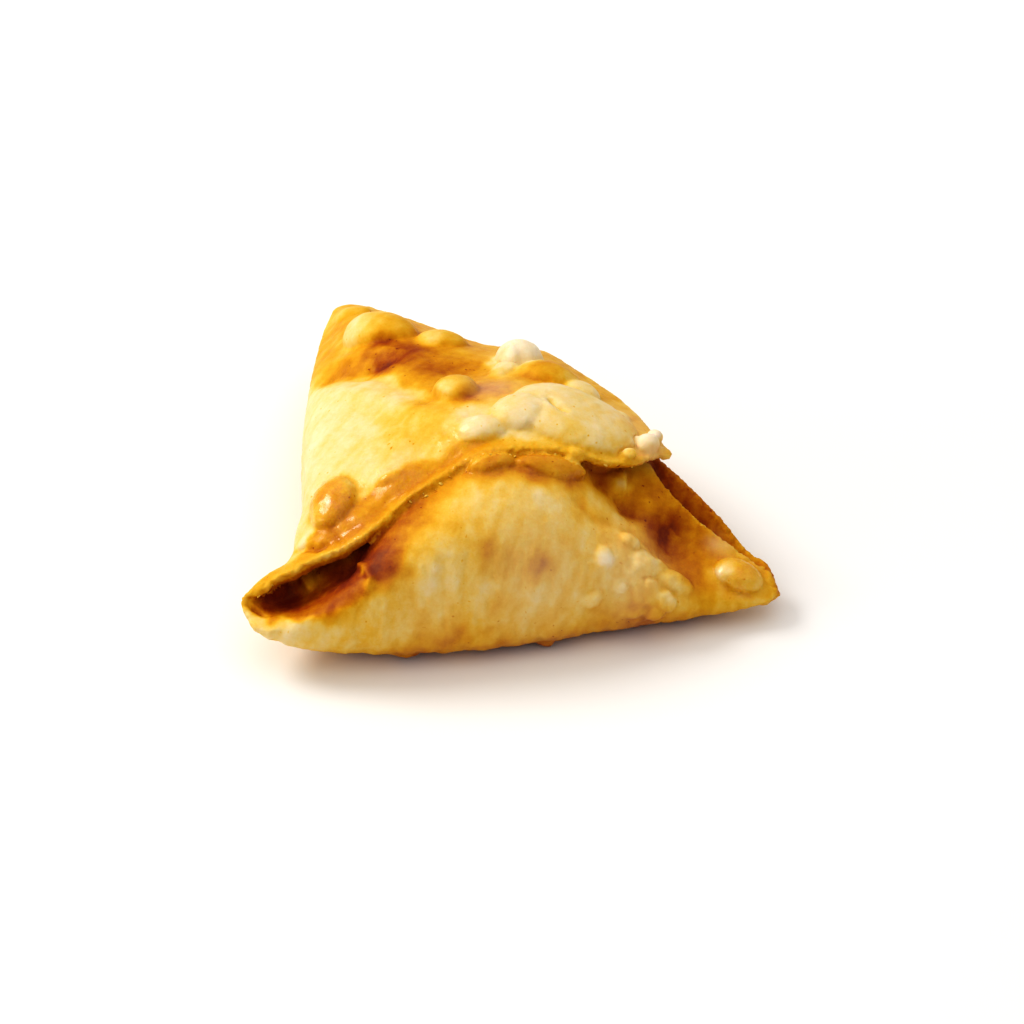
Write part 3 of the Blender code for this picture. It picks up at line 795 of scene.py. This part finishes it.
FRONT_PATCHES = (
    ((29.5, 24.0, 14.0), 10.5, 0.72, 6),
    ((20.0, 27.5, 19.0), 5.0, 0.72, 4),
    ((-38.0, 0.0, 7.0), 6.0, 0.26, 2),
    ((-29.0, -1.0, 8.0), 5.0, 0.37, 2),
    # Painted shade under the lip beside the open beak, over brown crust.
    ((-22.5, 6.0, 20.5), 4.4, 1.00, 2),
    ((-19.5, 12.5, 23.0), 5.0, 0.88, 2),
    ((5.0, 19.6, 27.0), 3.8, 0.68, 2),
    # Painted highlight on the top of the front, where it turns up to the lamps.
    ((4.8, 15.8, 26.0), 3.4, 0.14, 2),
    ((-10.6, 9.5, 25.5), 2.6, 0.46, 2),
    ((-3.7, 6.0, 21.8), 3.0, 0.66, 2),
    ((-2.4, 4.5, 19.4), 2.2, 0.60, 2),
    ((4.7, 6.7, 18.8), 3.6, 0.66, 2),
    ((-2.7, 3.2, 13.2), 2.2, 0.52, 2),
    ((9.5, 9.7, 19.7), 2.6, 0.42, 2),
    ((-14.0, 3.0, 15.0), 6.0, 0.28, 2),
    ((-10.5, 2.0, 6.5), 5.0, 0.62, 2),
    ((15.8, 10.4, 18.0), 1.9, 0.08, 4),
    ((19.4, 16.0, 17.8), 2.6, 0.54, 2),
    ((22.7, 9.4, 11.6), 2.2, 0.54, 2),
    ((23.0, 8.8, 9.0), 1.6, 0.62, 2),
    ((28.0, 11.6, 11.4), 2.2, 0.36, 4),
    ((27.0, 8.8, 9.4), 1.8, 0.32, 4),
    ((23.4, 12.6, 14.6), 2.6, 0.34, 4),
    ((22.5, 8.6, 4.8), 4.0, 0.78, 2),
    ((9.0, 19.8, 25.0), 3.0, 0.44, 2),
    ((13.0, 17.5, 22.0), 3.2, 0.50, 2),
    # Painted shade in the dent left of the fold ridge.
    ((15.2, 27.8, 21.0), 3.6, 0.78, 2),
    # Painted highlight on the fold ridge.
    ((19.2, 28.0, 19.2), 2.0, 0.20, 2),
    # Painted shade in the dent below the loose corner.
    ((20.5, 25.0, 16.2), 2.8, 0.78, 2),
    ((24.0, 27.0, 16.6), 2.4, 0.62, 2),
    # Painted shade in the deep hollow of the pressed flange.
    ((27.6, 23.8, 12.0), 3.8, 0.98, 2),
    ((32.0, 24.0, 12.0), 4.0, 0.80, 2),
    ((31.0, 18.5, 9.5), 4.5, 0.64, 2),
    ((32.4, 13.8, 8.4), 3.8, 0.72, 2),
    ((36.5, 11.8, 5.4), 3.4, 0.50, 2),
    ((39.6, 17.4, 8.6), 5.0, 0.52, 4),
    # Painted highlight on the lit left side of the tip blister.
    ((36.0, 16.0, 9.9), 1.6, 0.04, 2),
    ((44.5, 15.5, 5.5), 3.0, 0.42, 2),
) + HANGING_BUBBLE_PATCHES
# Share of the way along the lip, how wide the oily band behind the lip is, and how done.
LIP_BAND = (
    (0.00, 2.5, 0.53),
    (0.12, 3.0, 0.55),
    (0.18, 6.0, 0.61),
    (0.30, 8.5, 0.61),
    (0.42, 7.0, 0.60),
    (0.52, 5.0, 0.54),
    (0.62, 3.0, 0.42),
    (0.80, 2.4, 0.36),
    (1.00, 3.0, 0.47),
)
# Share of the way along the lip, and how done its cut edge is; the paler stretch about a fifth of the way
# along is a painted highlight on the edge.
LIP_EDGE_AND_HIGHLIGHT = ((0.0, 0.46), (0.1, 0.46), (0.2, 0.36), (0.3, 0.46), (0.4, 0.55), (1.0, 0.48))
LIP_EDGE_REACH = 1.1
# Share of the way along the lip, and how strongly the front beneath it is painted darker: painted shade under
# the overhanging lip, over some real browning.
UNDER_LIP_SHADE = (
    (0.00, 0.00),
    (0.18, 0.30),
    (0.26, 0.95),
    (0.40, 0.80),
    (0.55, 0.50),
    (0.70, 0.70),
    (0.82, 0.90),
    (0.92, 0.70),
    (1.00, 0.60),
)
UNDER_LIP_SHADE_REACH = 5.0
JAW_LINE = (
    (-46.0, 5.4, 10.6),
    (-43.2, 3.0, 10.0),
    (-40.7, 0.7, 10.5),
    (-35.7, -0.4, 11.8),
    (-31.0, -0.1, 13.3),
    (-27.2, 0.4, 15.1),
    (-22.0, 1.2, 18.0),
)
# How far in past the jaw, and how dark the open beak is painted there: painted shade deepening into the hollow
# of the beak, over its browned inside.
MOUTH_SHADE = ((0.0, 0.46), (0.5, 0.60), (1.2, 0.76), (2.4, 0.87), (4.0, 0.93), (6.0, 0.95))
MOUTH_END = -22.5
# Patches in the open beak. The darkest are painted shade in its hollows and under the lip, and the two small
# pale ones on the curl are painted highlight.
MOUTH_SHADE_AND_LIGHT_PATCHES = (
    ((-22.4, 5.0, 20.0), 3.4, 0.98, 2),
    ((-27.3, 4.4, 16.4), 3.0, 0.98, 2),
    ((-30.7, 1.5, 14.4), 2.4, 0.88, 2),
    ((-44.6, 6.2, 12.4), 2.2, 0.40, 2),
    ((-27.6, 12.3, 15.5), 3.0, 0.78, 2),
    ((-38.1, 11.4, 9.1), 2.6, 0.88, 2),
    ((-34.0, 10.4, 11.8), 2.0, 0.72, 2),
    ((-24.6, 5.6, 18.6), 1.0, 0.60, 2),
    ((-23.9, 2.6, 18.2), 1.2, 0.58, 2),
    ((-43.4, 5.0, 9.9), 1.4, 0.74, 4),
)
BACK_LAYER_PATCHES = (
    ((27.0, 35.0, 19.0), 7.0, 0.88, 2),
    ((34.0, 29.0, 14.5), 6.0, 0.86, 2),
    ((41.0, 23.0, 8.6), 4.0, 0.59, 2),
)
# How far the back layer's browning runs from its edge on the side that faces the back.
EDGE_BROWNING_REACH = 3.5

# Where, how far it reaches, and how strong it is.
OILY_SPOTS = (
    ((-30.8, 18.6, 24.4), 5.4, 1.0),
    ((-28.0, 12.0, 22.0), 4.6, 0.7),
    ((-19.0, 21.0, 26.5), 5.0, 0.7),
    ((-9.0, 25.0, 29.5), 5.0, 0.5),
    ((39.4, 17.0, 8.6), 4.6, 0.75),
    ((-3.6, 21.4, 28.6), 3.8, 0.35),
    ((3.4, 22.8, 27.6), 3.4, 0.3),
    ((9.4, 22.6, 26.0), 3.4, 0.3),
    ((20.0, 14.0, 17.0), 5.0, 0.2),
)
FLOURY_SPOTS = (
    ((-3.0, 42.5, 29.8), 5.0, 0.35),
    ((23.7, 33.2, 25.2), 3.0, 0.9),
    ((24.9, 36.2, 24.6), 2.0, 0.9),
    ((15.8, 10.4, 18.0), 1.8, 0.5),
    ((1.4, 58.8, 26.0), 4.0, 0.4),
    ((19.0, 40.0, 25.0), 6.0, 0.4),
    ((35.8, 22.4, 10.5), 2.0, 0.4),
    ((19.0, 12.0, 13.0), 8.0, 0.45),
    ((4.0, 8.0, 16.0), 11.0, 0.40),
    ((-14.0, 3.0, 13.0), 8.0, 0.20),
)

# The grain of the streaks, as the turned axes they run along, then their relief.
FLAP_GRAIN = ((0.78, 0.62, 0.0), (-0.62, 0.78, 0.0), (0.0, 0.0, 1.0))
FLAP_STREAKS = ((1.6, 14.0, 9.0), 0.07, 3)
FRONT_GRAIN = ((0.89, 0.0, 0.45), (0.0, 1.0, 0.0), (-0.45, 0.0, 0.89))
FRONT_STREAKS = ((2.2, 14.0, 10.0), 0.09, 3)
MOTTLING = ((5.5, 5.5, 5.5), 0.08, 3)
# Painted light and shade from the relief: skin standing proud of its smoothed neighbours is painted paler,
# partly as real paling where it cooked clear of the oil and partly as painted light, and sunk skin in creases
# and hollows is painted darker as shade: smoothing passes, the height that counts as fully proud, and how much
# paler it is.
PROUD_AND_SUNK_SHADING = ((10, 0.25, 0.06), (60, 0.8, 0.08))
SOFT_EDGE_PASSES = 12
SOFT_EDGE_REACH = 5.0


def labelled_tree(grids):
    """A tree of the points of several grids, and the label of each point."""
    thinned = [(label, grid[::2, ::2].reshape(-1, 3)) for label, grid in grids]
    points = np.concatenate([grid for _, grid in thinned])
    labels = np.concatenate([np.full(len(grid), label) for label, grid in thinned])
    tree = KDTree(len(points))
    for i, point in enumerate(points):
        tree.insert(point, i)
    tree.balance()
    return tree, labels


def patched(done_and_shading, places, patches):
    """The doneness and painted shading, drawn towards each patch's own."""
    for centre, reach, value, firmness in patches:
        away = np.linalg.norm(places - np.array(centre), axis=1) / reach
        done_and_shading = done_and_shading + (value - done_and_shading) * np.exp(-(away**firmness))
    return done_and_shading


def spotted(places, spots, firmness):
    """How much oil or flour lies on each place."""
    amounts = np.zeros(len(places))
    for centre, reach, amount in spots:
        away = np.linalg.norm(places - np.array(centre), axis=1) / reach
        amounts = np.maximum(amounts, amount * np.exp(-(away**firmness)))
    return amounts


def read(values, rows, column=1):
    """One column of a table of rows, read at these values of its first column."""
    table = np.array(rows)
    return np.interp(values, table[:, 0], table[:, column])


FLAP, FRONT, BACK, INSIDE, LAYER = range(5)
tree, labels = labelled_tree(
    (
        (FLAP, flap_top),
        (INSIDE, flap_bottom),
        (FRONT, parcel_front),
        (FRONT, parcel_hem),
        (BACK, parcel_base),
        (BACK, parcel_back),
        (LAYER, back_top),
        (LAYER, back_bottom),
    )
)
places, normals = vertex_arrays(crust.data)
wander = np.array([noise.noise_vector(Vector(p) / 4.0) for p in places]) * 1.3
wander += np.array([noise.noise_vector(Vector(p) / 1.3) for p in places]) * 0.5
wandered = places + wander
label = labels[[tree.find(p)[1] for p in places + wander * 0.2]]
label[(label == INSIDE) & (normals[:, 2] > 0.1)] = FLAP

to_lip, nearest_lip = distances(wandered, lip_line)
along_lip = nearest_lip / (len(lip_line) - 1)
browned = smooth_step((wandered[:, 1] - read(wandered[:, 0], BROWNED_LINE)) / BROWNED_FADE)
flap_done_and_shading = patched(FLAP_DONENESS + (BROWNED_DONENESS - FLAP_DONENESS) * browned, wandered, FLAP_PATCHES)
in_band = smooth_step((read(along_lip, LIP_BAND) - to_lip) / 2.0 + 0.5)
flap_done_and_shading += (read(along_lip, LIP_BAND, 2) - flap_done_and_shading) * in_band

# The front is painted darker towards the table, as contact shade at the hem, then takes its patches, some of
# them painted shade and highlight.
front_done_and_shading = patched(read(wandered[:, 2], HEM_BROWNING_AND_SHADE), wandered, FRONT_PATCHES)
# Painted shade on the front under the overhanging lip.
under_lip_shade = read(along_lip, UNDER_LIP_SHADE) * np.exp(-((to_lip / UNDER_LIP_SHADE_REACH) ** 2))
front_done_and_shading += (UNDER_LIP_SHADE_DONENESS - front_done_and_shading) * under_lip_shade
# Painted shade in the open beak, deepening past the jaw line, then its patches of painted shade and highlight.
past_jaw = (wandered[:, 1] - read(wandered[:, 0], JAW_LINE)) * 0.6
past_jaw += (wandered[:, 2] - read(wandered[:, 0], JAW_LINE, 2)) * 0.8
in_mouth_shade = smooth_step((past_jaw + 0.5) / 1.8) * smooth_step((MOUTH_END - places[:, 0]) / 3.0)
front_done_and_shading += (read(past_jaw, MOUTH_SHADE) - front_done_and_shading) * in_mouth_shade
front_done_and_shading = patched(front_done_and_shading, wandered, MOUTH_SHADE_AND_LIGHT_PATCHES)

layer_done = patched(np.full(len(places), BACK_LAYER_DONENESS), wandered, BACK_LAYER_PATCHES)
to_back_edge, _ = distances(places, back_line)
turned_away = smooth_step((0.3 - normals[:, 2]) / 0.3)
turned_away *= 1 - np.exp(-((to_back_edge / EDGE_BROWNING_REACH) ** 2))
layer_done += (BACK_DONENESS - layer_done) * turned_away

by_layer = [flap_done_and_shading, front_done_and_shading, BACK_DONENESS, INSIDE_DONENESS, layer_done]
done_and_shading = np.select([label == layer for layer in (FLAP, FRONT, BACK, INSIDE, LAYER)], by_layer)

ends = edge_ends(crust.data)
rim_line = smooth_guide(RIM, np.linspace(0.1, 0.95, 120))
root_line = smooth_guide(BACK_LAYER_ROOT, np.linspace(0.0, 1.0, 60))
soft_edged = distances(places, np.concatenate([rim_line, root_line]))[0] < SOFT_EDGE_REACH
for _ in range(SOFT_EDGE_PASSES):
    done_and_shading = np.where(soft_edged, neighbour_mean(done_and_shading, ends), done_and_shading)

flap_streaks = relief(places @ np.array(FLAP_GRAIN), *FLAP_STREAKS) + 0.03
front_streaks = relief(places @ np.array(FRONT_GRAIN), *FRONT_STREAKS)
done_and_shading += np.where(label == FRONT, front_streaks, flap_streaks)
done_and_shading += relief(places, *MOTTLING)

# Painted shade in sunk skin, and paler skin where it stands proud, partly painted light.
smooth_places = places.copy()
for passes, reach, paler in PROUD_AND_SUNK_SHADING:
    for _ in range(passes):
        smooth_places = neighbour_mean(smooth_places, ends)
    proud = ((places - smooth_places) * normals).sum(1)
    done_and_shading -= paler * np.clip(proud / reach, -1, 0.8)

# The cut edge of the lip takes its own doneness, with a painted highlight about a fifth of the way along.
to_lip, nearest_lip = distances(places, lip_line)
edge_done_and_highlight = read(nearest_lip / (len(lip_line) - 1), LIP_EDGE_AND_HIGHLIGHT)
done_and_shading += (edge_done_and_highlight - done_and_shading) * np.exp(-((to_lip / LIP_EDGE_REACH) ** 2))


def keep_on_points(obj, name, values):
    """Stores a value for each point of the mesh, for the material to read."""
    attribute = obj.data.attributes.new(name, "FLOAT", "POINT")
    attribute.data.foreach_set("value", np.clip(values, 0, 1).astype(np.float32))


keep_on_points(crust, "doneness_and_shading", done_and_shading)
keep_on_points(crust, "oil", spotted(wandered, OILY_SPOTS, 4))
keep_on_points(crust, "flour", spotted(wandered, FLOURY_SPOTS, 2))


# --- The fried skin ------------------------------------------------------------------------------
# The skin is wheat dough, blond to brown by how long the oil reached it, and darker in painted shade and paler
# in painted light, both carried in the same value. It is finely mottled and peppered with dark specks, and
# satin except where oil clings. The finished crust is set down with its foot on the foot of the imported
# model.

# Doneness, with its painted shading, then the colour it gives.
FRYING_COLOURS = (
    (0.00, (0.86, 0.74, 0.52)),
    (0.10, (0.82, 0.66, 0.37)),
    (0.20, (0.80, 0.61, 0.27)),
    (0.30, (0.79, 0.55, 0.15)),
    (0.40, (0.77, 0.47, 0.06)),
    (0.50, (0.72, 0.385, 0.02)),
    (0.60, (0.66, 0.305, 0.008)),
    (0.70, (0.56, 0.215, 0.003)),
    (0.80, (0.44, 0.13, 0.002)),
    (0.90, (0.33, 0.06, 0.003)),
    (1.00, (0.20, 0.025, 0.01)),
)
FLOUR_COLOUR = (0.88, 0.74, 0.60)
FLOUR_COVER = 0.6
# Noise scales, in waves per metre.
MOTTLE_SCALE = 550
GRAIN_SCALE = 2600
SPECK_SCALE = 1300
SATIN_SCALE = 900
OIL_STREAK_SCALE = 700
PEEL_SCALE = 1500
OIL_WAVE_SCALE = 1900

MM = 0.001
BENCH_CENTRE = (0.43, 45.2, 0.09)

fried_crust = bpy.data.materials.new("fried_crust")
fried_crust.use_nodes = True
nodes, links = fried_crust.node_tree.nodes, fried_crust.node_tree.links
shader = nodes["Principled BSDF"]


def feed(socket, source):
    """Links a socket to another, or gives it a plain value."""
    if isinstance(source, bpy.types.NodeSocket):
        links.new(source, socket)
    else:
        socket.default_value = source


def calculate(operation, *values, clamp=False):
    made = nodes.new("ShaderNodeMath")
    made.operation = operation
    made.use_clamp = clamp
    for socket, value in zip(made.inputs, values):
        feed(socket, value)
    return made.outputs[0]


def kept(name):
    """A value kept on the mesh's points."""
    made = nodes.new("ShaderNodeAttribute")
    made.attribute_name = name
    return made.outputs["Fac"]


def noise_over(skin_place, scale, detail, roughness=0.5):
    made = nodes.new("ShaderNodeTexNoise")
    settings = (skin_place, scale, detail, roughness)
    for socket, value in zip(("Vector", "Scale", "Detail", "Roughness"), settings):
        feed(made.inputs[socket], value)
    return made.outputs["Fac"]


skin_place = nodes.new("ShaderNodeTexCoord").outputs["Object"]
doneness_and_shading, oil, flour = kept("doneness_and_shading"), kept("oil"), kept("flour")
mottle = calculate("MULTIPLY_ADD", noise_over(skin_place, MOTTLE_SCALE, 4), 0.22, -0.11)
grain = calculate("MULTIPLY_ADD", noise_over(skin_place, GRAIN_SCALE, 2), 0.10, -0.05)
speck = calculate("MULTIPLY_ADD", noise_over(skin_place, SPECK_SCALE, 0), 9.0, -7.15, clamp=True)
tone = calculate("ADD", calculate("ADD", doneness_and_shading, mottle), grain)
tone = calculate("MULTIPLY_ADD", speck, 0.3, tone)
frying = nodes.new("ShaderNodeValToRGB")
stops = frying.color_ramp.elements
while len(stops) < len(FRYING_COLOURS):
    stops.new(0.5)
for stop, (position, colour) in zip(stops, FRYING_COLOURS):
    stop.position = position
    stop.color = (*colour, 1)
feed(frying.inputs["Fac"], tone)
floured = nodes.new("ShaderNodeMix")
floured.data_type = "RGBA"
feed(floured.inputs["Factor"], calculate("MULTIPLY", flour, FLOUR_COVER))
feed(floured.inputs["A"], frying.outputs["Color"])
feed(floured.inputs["B"], (*FLOUR_COLOUR, 1))
feed(shader.inputs["Base Color"], floured.outputs["Result"])

satin = calculate("MULTIPLY_ADD", noise_over(skin_place, SATIN_SCALE, 3), 0.25, 0.38)
feed(shader.inputs["Roughness"], calculate("MULTIPLY_ADD", oil, -0.18, satin))
streak = calculate("MULTIPLY_ADD", noise_over(skin_place, OIL_STREAK_SCALE, 3), 3.0, -0.8, clamp=True)
feed(shader.inputs["Coat Weight"], calculate("MULTIPLY", oil, streak))
feed(shader.inputs["Coat Roughness"], 0.17)
feed(shader.inputs["Coat IOR"], 1.6)
feed(shader.inputs["Coat Tint"], (1.0, 0.86, 0.45, 1))
feed(shader.inputs["Specular IOR Level"], 0.3)
feed(shader.inputs["Specular Tint"], (1.0, 0.75, 0.25, 1))
feed(shader.inputs["Subsurface Weight"], 0.15)
feed(shader.inputs["Subsurface Radius"], (1.0, 0.4, 0.1))
feed(shader.inputs["Subsurface Scale"], 0.002)

peel = noise_over(skin_place, PEEL_SCALE, 4, 0.6)
oil_waves = calculate("MULTIPLY", noise_over(skin_place, OIL_WAVE_SCALE, 2, 0.6), 3.0)
bump = nodes.new("ShaderNodeBump")
feed(bump.inputs["Height"], calculate("MULTIPLY_ADD", oil, oil_waves, peel))
feed(bump.inputs["Distance"], 0.0003)
feed(bump.inputs["Strength"], 0.25)
feed(shader.inputs["Normal"], bump.outputs["Normal"])

crust.data.materials.clear()
crust.data.materials.append(fried_crust)

packed_low, packed_high = (np.array(corner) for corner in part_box("samosa"))
foot = np.array((*(packed_low[:2] + packed_high[:2]) / 2, packed_low[2]))
bench_skin = skin_tree(crust)


def set_down(points):
    """Bench millimetres to metres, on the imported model's foot."""
    return (np.array(points) - BENCH_CENTRE) * MM + foot


def put_on_table(piece):
    places, _ = vertex_arrays(piece.data)
    places = set_down(places)
    places[:, 2] = np.maximum(places[:, 2], foot[2])
    piece.data.vertices.foreach_set("co", places.ravel())
    piece.data.update()


put_on_table(crust)
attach(crust, "root")
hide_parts("samosa")


# --- Chips on the edge ---------------------------------------------------------------------------
# The dry cut edge of the last flap flaked as it was handled, and small pale chips of pastry still
# cling along the lip. They are stuck to the skin by oil.

CHIP_SEED = 11
# From and to, as shares of the way along the lip, and how many chips.
CHIP_RUNS = ((0.02, 0.12, 2), (0.38, 0.46, 7), (0.48, 0.98, 7))
CHIP_SIZES = (0.12, 0.30)
CHIP_DONENESS = 0.42
CHIP_FLOUR = 0.1

rng = np.random.default_rng(CHIP_SEED)
chips = []
for start, end, number in CHIP_RUNS:
    for share in rng.uniform(start, end, number):
        spot = smooth_guide(LIP, np.array([share]))[0] + (0.0, -0.6, -1.0) + rng.normal(0, 0.4, 3)
        seat, out, _, _ = bench_skin.find_nearest(Vector(spot))
        size = rng.uniform(*CHIP_SIZES)
        centre = np.array(seat) + np.array(out) * 0.05
        points, faces = lump(centre, rng.normal(0, 1, 3), size * 1.5, size, size * 0.45)
        flaked = np.array([noise.noise_vector(Vector(p) * 3.0) for p in points])
        chips.append((np.array(points) + 0.25 * size * flaked, faces))
edge_chips = add_mesh_object("edge_chips", chips)
edge_chips.data.shade_smooth()
edge_chips.data.materials.append(fried_crust)
chip_points = len(edge_chips.data.vertices)
keep_on_points(edge_chips, "doneness_and_shading", np.full(chip_points, CHIP_DONENESS))
keep_on_points(edge_chips, "oil", np.zeros(chip_points))
keep_on_points(edge_chips, "flour", np.full(chip_points, CHIP_FLOUR))
put_on_table(edge_chips)
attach(edge_chips, "root")
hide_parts("samosa")


# --- The table -----------------------------------------------------------------------------------
# The samosa lies on a plain white laminate table top, matt and far larger than the view.

TABLE_REACH = 3.0
TABLE_COLOUR = (0.87, 0.85, 0.83)

mesh = bpy.data.meshes.new("table")
corners = [(x * TABLE_REACH, y * TABLE_REACH, 0) for x, y in ((-1, -1), (1, -1), (1, 1), (-1, 1))]
mesh.from_pydata(corners, [], [(0, 1, 2, 3)])
table = bpy.data.objects.new("table", mesh)
bpy.context.scene.collection.objects.link(table)
table.location.z = foot[2]
white_laminate = bpy.data.materials.new("white_laminate")
white_laminate.use_nodes = True
laminate_shader = white_laminate.node_tree.nodes["Principled BSDF"]
laminate_shader.inputs["Base Color"].default_value = (*TABLE_COLOUR, 1)
laminate_shader.inputs["Roughness"].default_value = 0.7
mesh.materials.append(white_laminate)


# --- The studio ----------------------------------------------------------------------------------
# A round softbox hangs high at the left, a smaller one stands low beside it, and white walls
# fill in from above. The room darkens towards the floor.

LIT_PLACE = Vector((0.0, -0.01, 0.01))
# Place, diameter, power in watts.
SOFTBOXES = {
    "key_light": ((-0.7, 0.3, 0.75), 0.5, 4.45),
    "side_light": ((-1.0, -0.35, 0.32), 0.5, 1.2),
}
SOFTBOX_COLOUR = (1.0, 1.0, 0.99)
WALL_COLOUR = (1.0, 0.98, 0.96)
WALL_GLOW_FALL = 0.87
WALL_GLOW_LEAST = 0.05

for name, (place, diameter, power) in SOFTBOXES.items():
    light = bpy.data.lights.new(name, "AREA")
    light.shape = "DISK"
    light.size = diameter
    light.energy = power
    light.color = SOFTBOX_COLOUR
    softbox = bpy.data.objects.new(name, light)
    bpy.context.scene.collection.objects.link(softbox)
    softbox.location = place
    softbox.rotation_mode = "QUATERNION"
    softbox.rotation_quaternion = (LIT_PLACE - Vector(place)).to_track_quat("-Z", "Y")

room = bpy.data.worlds.new("room")
room.use_nodes = True
bpy.context.scene.world = room
nodes, links = room.node_tree.nodes, room.node_tree.links
towards = nodes.new("ShaderNodeSeparateXYZ")
feed(towards.inputs[0], nodes.new("ShaderNodeTexCoord").outputs["Generated"])
glow = calculate("MULTIPLY_ADD", towards.outputs["Z"], WALL_GLOW_FALL, WALL_GLOW_LEAST, clamp=True)
feed(nodes["Background"].inputs["Color"], (*WALL_COLOUR, 1))
feed(nodes["Background"].inputs["Strength"], glow)


# --- The camera ----------------------------------------------------------------------------------
# A long lens looks down a little at the filled front, so that the lip, the open beak and most of
# the top show together.

CAMERA_TILT = math.radians(38)
CAMERA_DISTANCE = 650
CAMERA_AIM = Vector((0, 30, 12))
SENSOR_WIDTH = 36
FOCAL_LENGTH = 130.6

camera = bpy.data.objects.new("camera", bpy.data.cameras.new("camera"))
bpy.context.scene.collection.objects.link(camera)
backwards = Vector((0, -math.cos(CAMERA_TILT), math.sin(CAMERA_TILT)))
camera.location = Vector(set_down(CAMERA_AIM + backwards * CAMERA_DISTANCE))
camera.rotation_mode = "QUATERNION"
camera.rotation_quaternion = (-backwards).to_track_quat("-Z", "Y")
camera.data.sensor_width = SENSOR_WIDTH
camera.data.lens = FOCAL_LENGTH
camera.data.clip_end = 10
bpy.context.scene.camera = camera
bpy.context.scene.view_settings.view_transform = "Standard"
bpy.context.scene.view_settings.look = "High Contrast"
